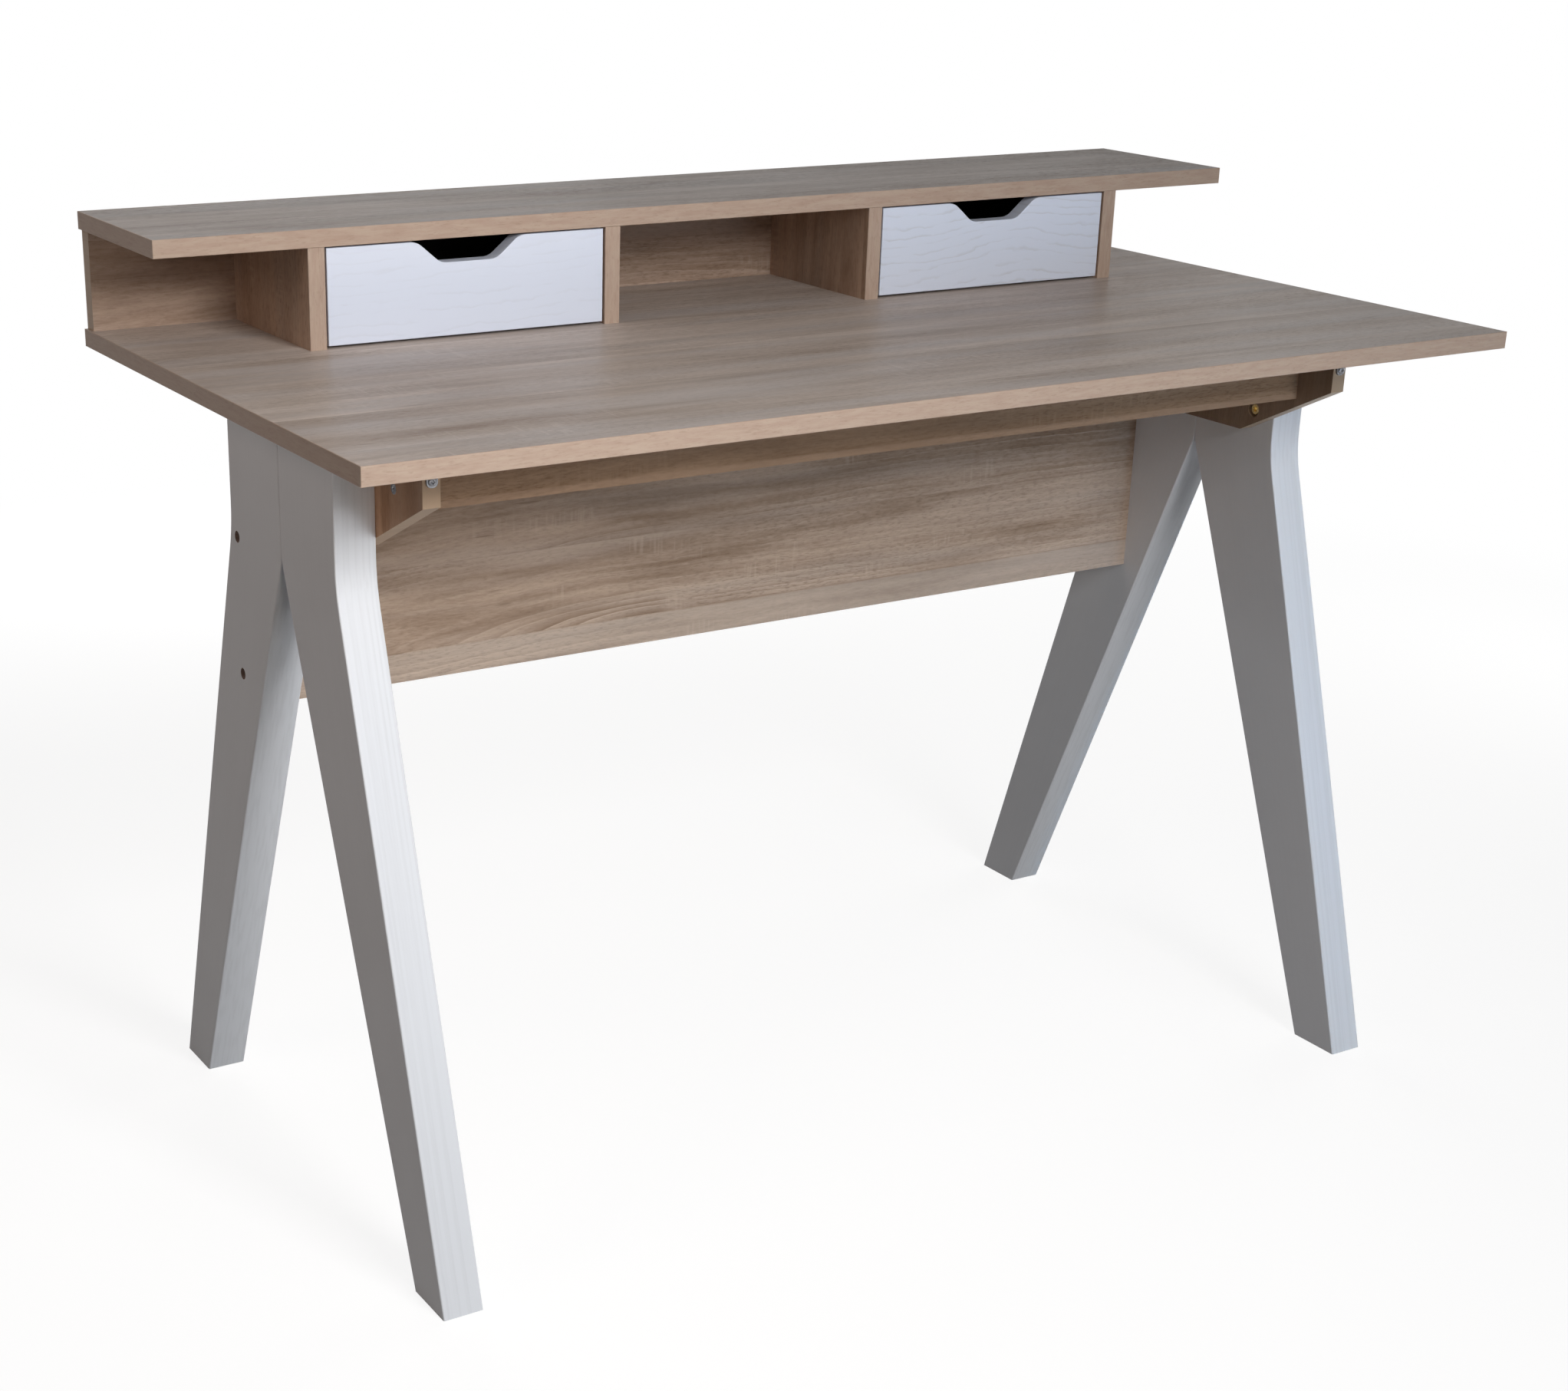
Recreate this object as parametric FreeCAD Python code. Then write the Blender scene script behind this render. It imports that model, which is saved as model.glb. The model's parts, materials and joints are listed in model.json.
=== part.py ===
import FreeCAD, Part
import math
import os

# A desk on two A-shaped frames, with a low shelf unit and two small drawers on the back of its top.
# X runs along the desk's width, Y from its front edge to its back edge, and Z up.
# The origin is on the floor, under the middle of the desktop. All sizes are in millimetres.

os.makedirs("parts", exist_ok=True)

Vector = FreeCAD.Vector
along_x = Vector(1, 0, 0)
along_y = Vector(0, 1, 0)
along_z = Vector(0, 0, 1)
sides = {"left": -1, "right": 1}
ends = {"front": -1, "back": 1}
tolerance = 0.001
largest_rounding_share = 0.9

# Desktop
desk_width = 1200.0
desk_depth = 600.0
desk_height = 750.0
desktop_thickness = 16.0
edge_band_thickness = 1.0
edge_band_rounding = 0.6

# Shelf unit on the back of the desktop
shelf_depth = 190.0
shelf_thickness = 16.0
shelf_clear_height = 90.0
end_bay_width = 142.0
drawer_bay_width = 284.0
divider_thickness = 16.0
divider_set_back = 1.0
hutch_back_thickness = 16.0
hutch_back_set_back = 1.0
hutch_back_end_inset = 3.0

# A-frames: each is a front leg and a back leg that meet on an upright seam
frame_set_back = 4.0
frame_end_inset = 62.0
leg_thickness = 38.0
leg_top_width = 112.0
leg_outer_bend_drop = 134.0
leg_crotch_drop = 139.0
foot_reach = 295.0
foot_width = 56.0
leg_outer_bend_radius = 150.0
leg_crotch_radius = 30.0
leg_edge_rounding = 1.5

# Brackets that carry the desktop, on the frames' inner faces
bracket_thickness = 16.0
bracket_length = 400.0
bracket_height = 111.0
bracket_end_height = 52.0
bracket_bottom_length = 164.0

# Rail and panel between the frames
rail_thickness = 16.0
rail_height = 66.0
rail_from_bracket_end = 45.0
panel_thickness = 16.0
panel_height = 188.0
panel_edge_inset = 5.0

# Drawers
drawer_front_thickness = 16.0
drawer_front_set_back = 1.0
drawer_front_side_gap = 2.0
drawer_front_top_gap = 1.5
drawer_front_bottom_gap = 2.5
drawer_front_rounding = 0.8
drawer_side_thickness = 12.0
drawer_side_height = 66.0
drawer_side_inset = 1.0
drawer_back_thickness = 12.0
drawer_running_gap = 0.5
drawer_rear_gap = 5.0
drawer_bottom_thickness = 3.0
drawer_bottom_lift = 6.0
drawer_groove_depth = 5.0
drawer_groove_clearance = 0.2

# Finger cut-out in the top edge of a drawer front
cutout_middle_width = 80.0
cutout_depth = 20.0
cutout_slope_degrees = 40.0
cutout_rounding = 18.0

# Wooden dowels, glued into holes of their own diameter
dowel_diameter = 8.0
dowel_edge_reach = 19.0
dowel_cover = 5.0
dowel_chamfer = 1.0
dowel_end_room = 0.5
seam_dowel_diameter = 10.0
seam_dowel_reach = 25.0
seam_dowel_upper_drop = 35.0
seam_dowel_lower_drop = 95.0
bracket_dowel_spacing = 240.0
hutch_dowel_margin = 45.0
drawer_dowel_diameter = 6.0
drawer_dowel_reach = 14.0
drawer_dowel_margin = 16.0

# Countersunk screws that hold board to board
board_screw_head_diameter = 10.0
board_screw_head_height = 4.0
board_screw_shank_diameter = 6.0
board_screw_reach = 34.0
rail_screw_margin = 19.5
hutch_screw_margin = 35.0
hutch_back_fastener_margin = 60.0
hutch_back_fastener_count = 5

# Small countersunk screws of the drawer boxes
drawer_screw_head_diameter = 6.0
drawer_screw_head_height = 2.5
drawer_screw_shank_diameter = 3.0
drawer_screw_reach = 20.0
drawer_screw_margin = 14.0

# Socket-head bolts from the brackets into threaded sleeves in the legs
bolt_diameter = 6.0
bolt_head_diameter = 10.0
bolt_head_height = 5.5
bolt_socket_width = 5.0
bolt_socket_depth = 3.0
bolt_seat_diameter = 15.0
bolt_seat_depth = 8.0
bolt_tip_room = 1.0
sleeve_diameter = 10.0
sleeve_length = 20.0
bolt_past_sleeve = 4.0
outer_bolt_edge_margin = 14.0
outer_bolt_lift = 23.0
inner_bolt_from_seam = 44.0
inner_bolt_lift = 77.0

# Bolts from the back legs' outer faces into cross nuts in the panel's ends
panel_bolt_seat_depth = 12.0
panel_bolt_reach = 42.0
panel_bolt_margin = 30.0
panel_bolt_spacing = 128.0
cross_nut_diameter = 10.0
cross_nut_length = 12.0
cross_nut_from_end = 34.0
hole_clearance = 0.5

# Metal angles that fasten the desktop to the brackets' ends
angle_width = 10.0
angle_thickness = 2.0
angle_upright_length = 35.0
angle_flat_length = 24.0
angle_end_rounding = 4.5
angle_screw_margin = 5.0
angle_screw_head_diameter = 7.0
angle_screw_head_height = 1.8
angle_screw_head_rounding = 1.1
angle_screw_shank_diameter = 3.0
angle_screw_reach = 11.0
angle_screw_slot_width = 1.0
angle_screw_slot_depth = 0.9

# Places that follow from the sizes above
half_width = desk_width / 2
half_depth = desk_depth / 2
underside_z = desk_height - desktop_thickness
shelf_bottom_z = desk_height + shelf_clear_height
shelf_top_z = shelf_bottom_z + shelf_thickness
shelf_front_y = half_depth - shelf_depth
divider_front_y = shelf_front_y + divider_set_back
hutch_back_rear_y = half_depth - hutch_back_set_back
hutch_back_front_y = hutch_back_rear_y - hutch_back_thickness
outer_divider_x = half_width - end_bay_width - divider_thickness / 2
inner_divider_x = outer_divider_x - divider_thickness - drawer_bay_width
drawer_centre_x = (inner_divider_x + outer_divider_x) / 2
divider_places = {
    "outer_left_divider": -outer_divider_x,
    "inner_left_divider": -inner_divider_x,
    "inner_right_divider": inner_divider_x,
    "outer_right_divider": outer_divider_x,
}

frame_y = frame_set_back
leg_outer_x = half_width - frame_end_inset
leg_inner_x = leg_outer_x - leg_thickness
leg_middle_x = (leg_outer_x + leg_inner_x) / 2
bracket_inner_x = leg_inner_x - bracket_thickness
bracket_middle_x = leg_inner_x - bracket_thickness / 2
bracket_bottom_z = underside_z - bracket_height
bracket_front_y = frame_y - bracket_length / 2

rail_front_y = bracket_front_y + rail_from_bracket_end
rail_middle_y = rail_front_y + rail_thickness / 2
rail_bottom_z = underside_z - rail_height
panel_rear_y = frame_y + leg_top_width - panel_edge_inset
panel_middle_y = panel_rear_y - panel_thickness / 2
panel_bottom_z = bracket_bottom_z - panel_height

drawer_front_y = divider_front_y + drawer_front_set_back
drawer_box_front_y = drawer_front_y + drawer_front_thickness
drawer_box_rear_y = hutch_back_front_y - drawer_rear_gap
drawer_front_half = drawer_bay_width / 2 - drawer_front_side_gap
drawer_side_outer = drawer_front_half - drawer_side_inset
drawer_side_inner = drawer_side_outer - drawer_side_thickness
drawer_side_bottom_z = desk_height + drawer_running_gap
drawer_side_top_z = drawer_side_bottom_z + drawer_side_height
drawer_bottom_z = drawer_side_bottom_z + drawer_bottom_lift
drawer_floor_z = drawer_bottom_z + drawer_bottom_thickness


def box(x0, x1, y0, y1, z0, z1):
    """Block between two corners."""
    return Part.makeBox(x1 - x0, y1 - y0, z1 - z0, Vector(x0, y0, z0))


def rod(start, direction, length, diameter):
    """Round bar from a start point."""
    return Part.makeCylinder(diameter / 2, length, start, direction)


def cone(start, direction, length, start_diameter, end_diameter):
    """Tapered round bar from a start point."""
    return Part.makeCone(start_diameter / 2, end_diameter / 2, length, start, direction)


def cut(shape, tools):
    """Shape with all the tools taken out of it."""
    return shape.cut(list(tools)).removeSplitter()


def rounded_outline(corners):
    """Closed wire through (point, radius) corners, each rounded by an arc tangent to its two runs."""
    spans = []
    count = len(corners)
    for index, (point, radius) in enumerate(corners):
        arriving = (point - corners[index - 1][0]).normalize()
        leaving = (corners[(index + 1) % count][0] - point).normalize()
        half_turn = arriving.getAngle(leaving) / 2
        trim = radius * math.tan(half_turn)
        inward = leaving - arriving
        middle = point
        if radius > 0:
            middle = point + inward.normalize() * (radius / math.cos(half_turn) - radius)
        spans.append((point - arriving * trim, middle, point + leaving * trim, radius))
    edges = []
    for index, (begin, middle, finish, radius) in enumerate(spans):
        if radius > 0:
            edges.append(Part.Arc(begin, middle, finish).toShape())
        edges.append(Part.LineSegment(finish, spans[(index + 1) % count][0]).toShape())
    return Part.Wire(edges)


def plate(corners, direction):
    """Board with a rounded outline, made thick along a direction."""
    return Part.Face(rounded_outline(corners)).extrude(direction)


def round_edges(shape, radius, wanted):
    """Shape with a small rounding on every edge whose bounding box is wanted."""
    return shape.makeFillet(radius, [edge for edge in shape.Edges if wanted(edge.BoundBox)])


def lies_on(low, high, value):
    """Whether an extent is flat at a value."""
    return abs(low - value) < tolerance and abs(high - value) < tolerance


def evenly(first, last, count):
    """Places spread evenly from first to last."""
    return [first + (last - first) * index / (count - 1) for index in range(count)]


def save(name, *solids):
    """Write one sub-part, a single solid or a group of separate ones."""
    shape = solids[0] if len(solids) == 1 else Part.makeCompound(list(solids))
    shape.exportStep(f"parts/{name}.step")
    print(name, len(shape.Solids), round(shape.Volume), shape.isValid())


def dowel(start, direction, length, diameter):
    """Round wooden pin with chamfered ends."""
    body_start = start + direction * dowel_chamfer
    body = rod(body_start, direction, length - 2 * dowel_chamfer, diameter)
    narrow = diameter - 2 * dowel_chamfer
    first = cone(start, direction, dowel_chamfer, narrow, diameter)
    last = cone(start + direction * (length - dowel_chamfer), direction, dowel_chamfer, diameter, narrow)
    return body.fuse([first, last]).removeSplitter()


def dowel_hole(start, direction, length, diameter):
    """Hole of a dowel, a little deeper than the dowel at both ends."""
    return rod(start - direction * dowel_end_room, direction, length + 2 * dowel_end_room, diameter)


def countersunk_screw(start, direction, head_diameter, head_height, shank_diameter, length):
    """Screw whose head is flush with the face at its start point. Its hole has the same shape."""
    head = cone(start, direction, head_height, head_diameter, shank_diameter)
    shank = rod(start + direction * head_height, direction, length - head_height, shank_diameter)
    return head.fuse(shank).removeSplitter()


def hexagon_socket(start, direction, width, depth):
    """Six-sided recess, sunk from a start point along a direction that is one of the three axes."""
    across = Vector(direction.y, direction.z, direction.x)
    other = direction.cross(across)
    reach = width / math.sqrt(3)
    points = []
    for step in range(7):
        angle = math.radians(60 * step)
        points.append(start + across * (reach * math.cos(angle)) + other * (reach * math.sin(angle)))
    return Part.Face(Part.makePolygon(points)).extrude(direction * depth)


def socket_bolt(seat, direction, length):
    """Bolt whose head stands on the seat point and whose shank runs along the direction."""
    head_top = seat - direction * bolt_head_height
    head = rod(head_top, direction, bolt_head_height, bolt_head_diameter)
    shank = rod(seat, direction, length, bolt_diameter)
    socket = hexagon_socket(head_top, direction, bolt_socket_width, bolt_socket_depth)
    return cut(head.fuse(shank).removeSplitter(), [socket])


def edge_band(x0, x1, y0, y1, z0, z1, wanted):
    """Thin strip on a board's edge, with its outer corners eased."""
    rounding = min(edge_band_rounding, edge_band_thickness * largest_rounding_share)
    return round_edges(box(x0, x1, y0, y1, z0, z1), rounding, wanted)


def banded_board(name, y0, y1, z0, z1):
    """Full-width board and its four edge bands. Gives back the bare board."""
    x_core = half_width - edge_band_thickness
    y_core0 = y0 + edge_band_thickness
    y_core1 = y1 - edge_band_thickness
    for end, y_out, y_in in (("front", y0, y_core0), ("back", y1, y_core1)):
        strip = edge_band(
            -half_width, half_width, min(y_out, y_in), max(y_out, y_in), z0, z1,
            lambda b, y=y_out: lies_on(b.YMin, b.YMax, y),
        )
        save(f"{name}_{end}_edge_band", strip)
    for side, sign in sides.items():
        x_out = sign * half_width
        x_in = sign * x_core
        strip = edge_band(
            min(x_out, x_in), max(x_out, x_in), y_core0, y_core1, z0, z1,
            lambda b, x=x_out: lies_on(b.XMin, b.XMax, x) and b.YLength > tolerance,
        )
        save(f"{name}_{side}_edge_band", strip)
    return box(-x_core, x_core, y_core0, y_core1, z0, z1)


# Fasteners of the shelf unit

desktop_dowel_reach = desktop_thickness - dowel_cover
shelf_dowel_reach = shelf_thickness - dowel_cover
hutch_dowel_length = dowel_edge_reach + shelf_dowel_reach
hutch_screw_length = desktop_thickness + board_screw_reach
hutch_back_middle_y = (hutch_back_front_y + hutch_back_rear_y) / 2
hutch_back_half = half_width - hutch_back_end_inset


def divider_rows(margin):
    """Places along every divider, one margin in from its front and from its back."""
    rows = (divider_front_y + margin, hutch_back_front_y - margin)
    return [(x, y) for x in divider_places.values() for y in rows]


def hutch_back_row():
    """Places along the back panel's middle line."""
    reach = hutch_back_half - hutch_back_fastener_margin
    return [(x, hutch_back_middle_y) for x in evenly(-reach, reach, hutch_back_fastener_count)]


hutch_dowel_starts = []
for x, y in divider_rows(hutch_dowel_margin) + hutch_back_row():
    hutch_dowel_starts.append(Vector(x, y, shelf_bottom_z - dowel_edge_reach))
hutch_dowels = [dowel(start, along_z, hutch_dowel_length, dowel_diameter) for start in hutch_dowel_starts]
hutch_dowel_holes = [
    dowel_hole(start, along_z, hutch_dowel_length, dowel_diameter) for start in hutch_dowel_starts
]
hutch_screws = []
for x, y in divider_rows(hutch_screw_margin) + hutch_back_row():
    hutch_screws.append(
        countersunk_screw(
            Vector(x, y, underside_z), along_z, board_screw_head_diameter, board_screw_head_height,
            board_screw_shank_diameter, hutch_screw_length,
        )
    )

# Fasteners of the brackets, the rail and the panel

bracket_dowel_length = dowel_edge_reach + desktop_dowel_reach
bracket_dowel_starts = []
for sign in sides.values():
    for end_sign in ends.values():
        y = frame_y + end_sign * bracket_dowel_spacing / 2
        bracket_dowel_starts.append(Vector(sign * bracket_middle_x, y, underside_z - dowel_edge_reach))
bracket_dowels = [
    dowel(start, along_z, bracket_dowel_length, dowel_diameter) for start in bracket_dowel_starts
]
bracket_dowel_holes = [
    dowel_hole(start, along_z, bracket_dowel_length, dowel_diameter) for start in bracket_dowel_starts
]

rail_screw_length = bracket_thickness + board_screw_reach
rail_screws = []
for sign in sides.values():
    for z in (rail_bottom_z + rail_screw_margin, underside_z - rail_screw_margin):
        rail_screws.append(
            countersunk_screw(
                Vector(sign * leg_inner_x, rail_middle_y, z), along_x * -sign, board_screw_head_diameter,
                board_screw_head_height, board_screw_shank_diameter, rail_screw_length,
            )
        )


def bracket_bolt_places():
    """Side sign, depth and height of every bolt between a bracket and a leg."""
    outer = (leg_top_width - outer_bolt_edge_margin, bracket_bottom_z + outer_bolt_lift)
    inner = (inner_bolt_from_seam, bracket_bottom_z + inner_bolt_lift)
    places = []
    for sign in sides.values():
        for end_sign in ends.values():
            for reach, z in (outer, inner):
                places.append((sign, frame_y + end_sign * reach, z))
    return places


bracket_bolts = []
bracket_bolt_holes = []
leg_sleeves = []
leg_sleeve_holes = []
bolt_seat_x = bracket_inner_x + bolt_seat_depth
bolt_length = bracket_thickness - bolt_seat_depth + sleeve_length + bolt_past_sleeve
for sign, y, z in bracket_bolt_places():
    outward = along_x * sign
    bracket_face = Vector(sign * bracket_inner_x, y, z)
    bolt_seat = Vector(sign * bolt_seat_x, y, z)
    leg_face = Vector(sign * leg_inner_x, y, z)
    bracket_bolts.append(socket_bolt(bolt_seat, outward, bolt_length))
    bracket_bolt_holes.append(rod(bracket_face, outward, bolt_seat_depth, bolt_seat_diameter))
    bracket_bolt_holes.append(rod(bracket_face, outward, bracket_thickness, bolt_diameter + hole_clearance))
    sleeve = rod(leg_face, outward, sleeve_length, sleeve_diameter)
    bore = rod(leg_face, outward, sleeve_length, bolt_diameter)
    leg_sleeves.append(sleeve.cut(bore))
    tip_depth = sleeve_length + bolt_past_sleeve + bolt_tip_room
    tip = rod(leg_face, outward, tip_depth, bolt_diameter + hole_clearance)
    leg_sleeve_holes.append(sleeve.fuse(tip))

panel_bolts = []
panel_bolt_holes = []
cross_nuts = []
cross_nut_holes = []
panel_bolt_length = leg_thickness - panel_bolt_seat_depth + panel_bolt_reach
for sign in sides.values():
    inward = along_x * -sign
    for lift in (panel_bolt_margin, panel_bolt_margin + panel_bolt_spacing):
        z = panel_bottom_z + lift
        outer_face = Vector(sign * leg_outer_x, panel_middle_y, z)
        seat = outer_face + inward * panel_bolt_seat_depth
        panel_bolts.append(socket_bolt(seat, inward, panel_bolt_length))
        seat_diameter = bolt_head_diameter + hole_clearance
        panel_bolt_holes.append(rod(outer_face, inward, panel_bolt_seat_depth, seat_diameter))
        panel_bolt_holes.append(
            rod(seat, inward, panel_bolt_length + bolt_tip_room, bolt_diameter + hole_clearance)
        )
        nut_x = sign * (leg_inner_x - cross_nut_from_end)
        nut_start = Vector(nut_x, panel_rear_y - cross_nut_length, z)
        nut = rod(nut_start, along_y, cross_nut_length, cross_nut_diameter)
        cross_nuts.append(nut.cut(rod(seat, inward, panel_bolt_length, bolt_diameter)))
        cross_nut_holes.append(nut)

seam_dowel_length = 2 * seam_dowel_reach
seam_dowel_starts = []
for sign in sides.values():
    for drop in (seam_dowel_upper_drop, seam_dowel_lower_drop):
        seam_dowel_starts.append(Vector(sign * leg_middle_x, frame_y - seam_dowel_reach, underside_z - drop))
seam_dowels = [dowel(start, along_y, seam_dowel_length, seam_dowel_diameter) for start in seam_dowel_starts]
seam_dowel_holes = [
    dowel_hole(start, along_y, seam_dowel_length, seam_dowel_diameter) for start in seam_dowel_starts
]


def angle_screw(start, direction):
    """Round-headed slotted screw whose head stands on the start point."""
    head_top = start - direction * angle_screw_head_height
    head = rod(head_top, direction, angle_screw_head_height, angle_screw_head_diameter)
    rounding = min(angle_screw_head_rounding, angle_screw_head_height * largest_rounding_share)
    head = round_edges(head, rounding, lambda b: b.Center.distanceToPoint(head_top) < tolerance)
    shank = rod(start, direction, angle_screw_reach, angle_screw_shank_diameter)
    thin = direction.cross(along_x)
    reach = along_x * angle_screw_head_diameter
    half_slot = thin * (angle_screw_slot_width / 2)
    corners = [-reach - half_slot, reach - half_slot, reach + half_slot, -reach + half_slot]
    slot = plate([(head_top + corner, 0) for corner in corners], direction * angle_screw_slot_depth)
    return cut(head.fuse(shank), [slot])


def angle_screw_hole(start, direction, diameter):
    """Hole of a screw's shank, from the start point on."""
    return rod(start, direction, angle_screw_reach, diameter)


angles = []
angle_screws = []
angle_pilot_holes = []
for sign in sides.values():
    for end_sign in ends.values():
        outward = along_y * end_sign
        corner = Vector(sign * bracket_middle_x, frame_y + end_sign * bracket_length / 2, underside_z)
        half_angle = angle_width / 2
        low = corner - along_z * angle_upright_length
        far = corner + outward * angle_flat_length
        aside = along_x * half_angle
        end_round = min(angle_end_rounding, half_angle * largest_rounding_share)
        upright = plate(
            [(corner - aside, 0), (corner + aside, 0), (low + aside, end_round), (low - aside, end_round)],
            outward * angle_thickness,
        )
        flat = plate(
            [(corner - aside, 0), (far - aside, end_round), (far + aside, end_round), (corner + aside, 0)],
            along_z * -angle_thickness,
        )
        upright_screw = low + along_z * angle_screw_margin + outward * angle_thickness
        flat_screw = far - outward * angle_screw_margin - along_z * angle_thickness
        clear_diameter = angle_screw_shank_diameter + hole_clearance
        holes = [
            angle_screw_hole(upright_screw, outward * -1, clear_diameter),
            angle_screw_hole(flat_screw, along_z, clear_diameter),
        ]
        angles.append(cut(upright.fuse(flat), holes))
        for start, direction in ((upright_screw, outward * -1), (flat_screw, along_z)):
            angle_screws.append(angle_screw(start, direction))
            angle_pilot_holes.append(angle_screw_hole(start, direction, angle_screw_shank_diameter))


def leg(sign, end_sign):
    """One leg of an A-frame: upright and wide under the desktop, then slanting out to a flat-cut foot."""
    x0 = min(sign * leg_inner_x, sign * leg_outer_x)
    x1 = x0 + leg_thickness

    def point(reach, z):
        return Vector(x0, frame_y + end_sign * reach, z)

    corners = [
        (point(0, underside_z), 0),
        (point(leg_top_width, underside_z), 0),
        (point(leg_top_width, underside_z - leg_outer_bend_drop), leg_outer_bend_radius),
        (point(foot_reach, 0), 0),
        (point(foot_reach - foot_width, 0), 0),
        (point(0, underside_z - leg_crotch_drop), leg_crotch_radius),
    ]

    def on_a_broad_face(b):
        return b.ZLength > tolerance and (lies_on(b.XMin, b.XMax, x0) or lies_on(b.XMin, b.XMax, x1))

    solid = round_edges(plate(corners, along_x * leg_thickness), leg_edge_rounding, on_a_broad_face)
    tools = seam_dowel_holes + leg_sleeve_holes + panel_bolt_holes
    return cut(solid, [tool for tool in tools if tool.BoundBox.intersect(solid.BoundBox)])


def bracket(sign):
    """Six-sided board under the desktop, with short upright ends and a flat stretch at its lowest."""
    x0 = min(sign * bracket_inner_x, sign * leg_inner_x)
    half_length = bracket_length / 2
    half_bottom = bracket_bottom_length / 2
    end_z = underside_z - bracket_end_height
    profile = [
        (-half_length, underside_z),
        (-half_length, end_z),
        (-half_bottom, bracket_bottom_z),
        (half_bottom, bracket_bottom_z),
        (half_length, end_z),
        (half_length, underside_z),
    ]
    solid = plate([(Vector(x0, frame_y + y, z), 0) for y, z in profile], along_x * bracket_thickness)
    tools = bracket_bolt_holes + bracket_dowel_holes + rail_screws + angle_pilot_holes
    return cut(solid, [tool for tool in tools if tool.BoundBox.intersect(solid.BoundBox)])


def drawer_front(centre_x):
    """Front board with a dished finger cut-out in its top edge."""
    bottom_z = desk_height + drawer_front_bottom_gap
    top_z = shelf_bottom_z - drawer_front_top_gap
    slope_run = cutout_depth / math.tan(math.radians(cutout_slope_degrees))
    top_half = cutout_middle_width / 2 + slope_run / 2
    bottom_half = cutout_middle_width / 2 - slope_run / 2
    cutout_z = top_z - cutout_depth
    profile = [
        (-drawer_front_half, bottom_z, 0),
        (drawer_front_half, bottom_z, 0),
        (drawer_front_half, top_z, 0),
        (top_half, top_z, cutout_rounding),
        (bottom_half, cutout_z, cutout_rounding),
        (-bottom_half, cutout_z, cutout_rounding),
        (-top_half, top_z, cutout_rounding),
        (-drawer_front_half, top_z, 0),
    ]
    corners = [(Vector(centre_x + x, drawer_front_y, z), radius) for x, z, radius in profile]
    solid = plate(corners, along_y * drawer_front_thickness)
    return round_edges(solid, drawer_front_rounding, lambda b: lies_on(b.YMin, b.YMax, drawer_front_y))


def drawer(name, centre_x):
    """Box of five boards with the bottom in grooves, and its dowels and screws."""
    groove_top_z = drawer_floor_z + drawer_groove_clearance
    groove_half = drawer_side_inner + drawer_groove_depth
    groove_front_y = drawer_box_front_y - drawer_groove_depth
    groove = box(
        centre_x - groove_half, centre_x + groove_half, groove_front_y, drawer_box_rear_y,
        drawer_bottom_z, groove_top_z,
    )
    front_dowel_reach = drawer_front_thickness - dowel_cover
    dowel_length = front_dowel_reach + drawer_dowel_reach
    dowel_heights = (drawer_side_bottom_z + drawer_dowel_margin, drawer_side_top_z - drawer_dowel_margin)
    screw_heights = (drawer_floor_z + drawer_screw_margin, drawer_side_top_z - drawer_screw_margin)
    back_middle_y = drawer_box_rear_y - drawer_back_thickness / 2
    dowels = []
    dowel_holes = []
    screws = []
    side_boards = {}
    for side, sign in sides.items():
        x_inner = centre_x + sign * drawer_side_inner
        x_outer = centre_x + sign * drawer_side_outer
        for z in dowel_heights:
            start = Vector((x_inner + x_outer) / 2, drawer_box_front_y - front_dowel_reach, z)
            dowels.append(dowel(start, along_y, dowel_length, drawer_dowel_diameter))
            dowel_holes.append(dowel_hole(start, along_y, dowel_length, drawer_dowel_diameter))
        for z in screw_heights:
            screws.append(
                countersunk_screw(
                    Vector(x_outer, back_middle_y, z), along_x * -sign, drawer_screw_head_diameter,
                    drawer_screw_head_height, drawer_screw_shank_diameter,
                    drawer_side_thickness + drawer_screw_reach,
                )
            )
        side_boards[side] = box(
            min(x_inner, x_outer), max(x_inner, x_outer), drawer_box_front_y, drawer_box_rear_y,
            drawer_side_bottom_z, drawer_side_top_z,
        )
    for side, board in side_boards.items():
        save(f"{name}_{side}_side", cut(board, [groove] + dowel_holes + screws))
    back_board = box(
        centre_x - drawer_side_inner, centre_x + drawer_side_inner,
        drawer_box_rear_y - drawer_back_thickness, drawer_box_rear_y, groove_top_z, drawer_side_top_z,
    )
    save(f"{name}_back", cut(back_board, screws))
    bottom_half = groove_half - drawer_groove_clearance
    bottom_board = box(
        centre_x - bottom_half, centre_x + bottom_half, groove_front_y + drawer_groove_clearance,
        drawer_box_rear_y, drawer_bottom_z, drawer_floor_z,
    )
    save(f"{name}_bottom", bottom_board)
    save(f"{name}_front", cut(drawer_front(centre_x), [groove] + dowel_holes))
    save(f"{name}_dowels", *dowels)
    save(f"{name}_screws", *screws)


# Desktop, shelf, dividers and back panel
desktop = banded_board("desktop", -half_depth, half_depth, underside_z, desk_height)
save("desktop", cut(desktop, hutch_screws + bracket_dowel_holes + angle_pilot_holes))
shelf = banded_board("shelf", shelf_front_y, half_depth, shelf_bottom_z, shelf_top_z)
save("shelf", cut(shelf, hutch_dowel_holes))
for name, x in divider_places.items():
    x0 = x - divider_thickness / 2
    x1 = x + divider_thickness / 2
    band_rear_y = divider_front_y + edge_band_thickness
    board = box(x0, x1, band_rear_y, hutch_back_front_y, desk_height, shelf_bottom_z)
    tools = [tool for tool in hutch_dowel_holes + hutch_screws if tool.BoundBox.intersect(board.BoundBox)]
    save(name, cut(board, tools))
    strip = edge_band(
        x0, x1, divider_front_y, band_rear_y, desk_height, shelf_bottom_z,
        lambda b: lies_on(b.YMin, b.YMax, divider_front_y) and b.ZLength > tolerance,
    )
    save(f"{name}_edge_band", strip)
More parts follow.
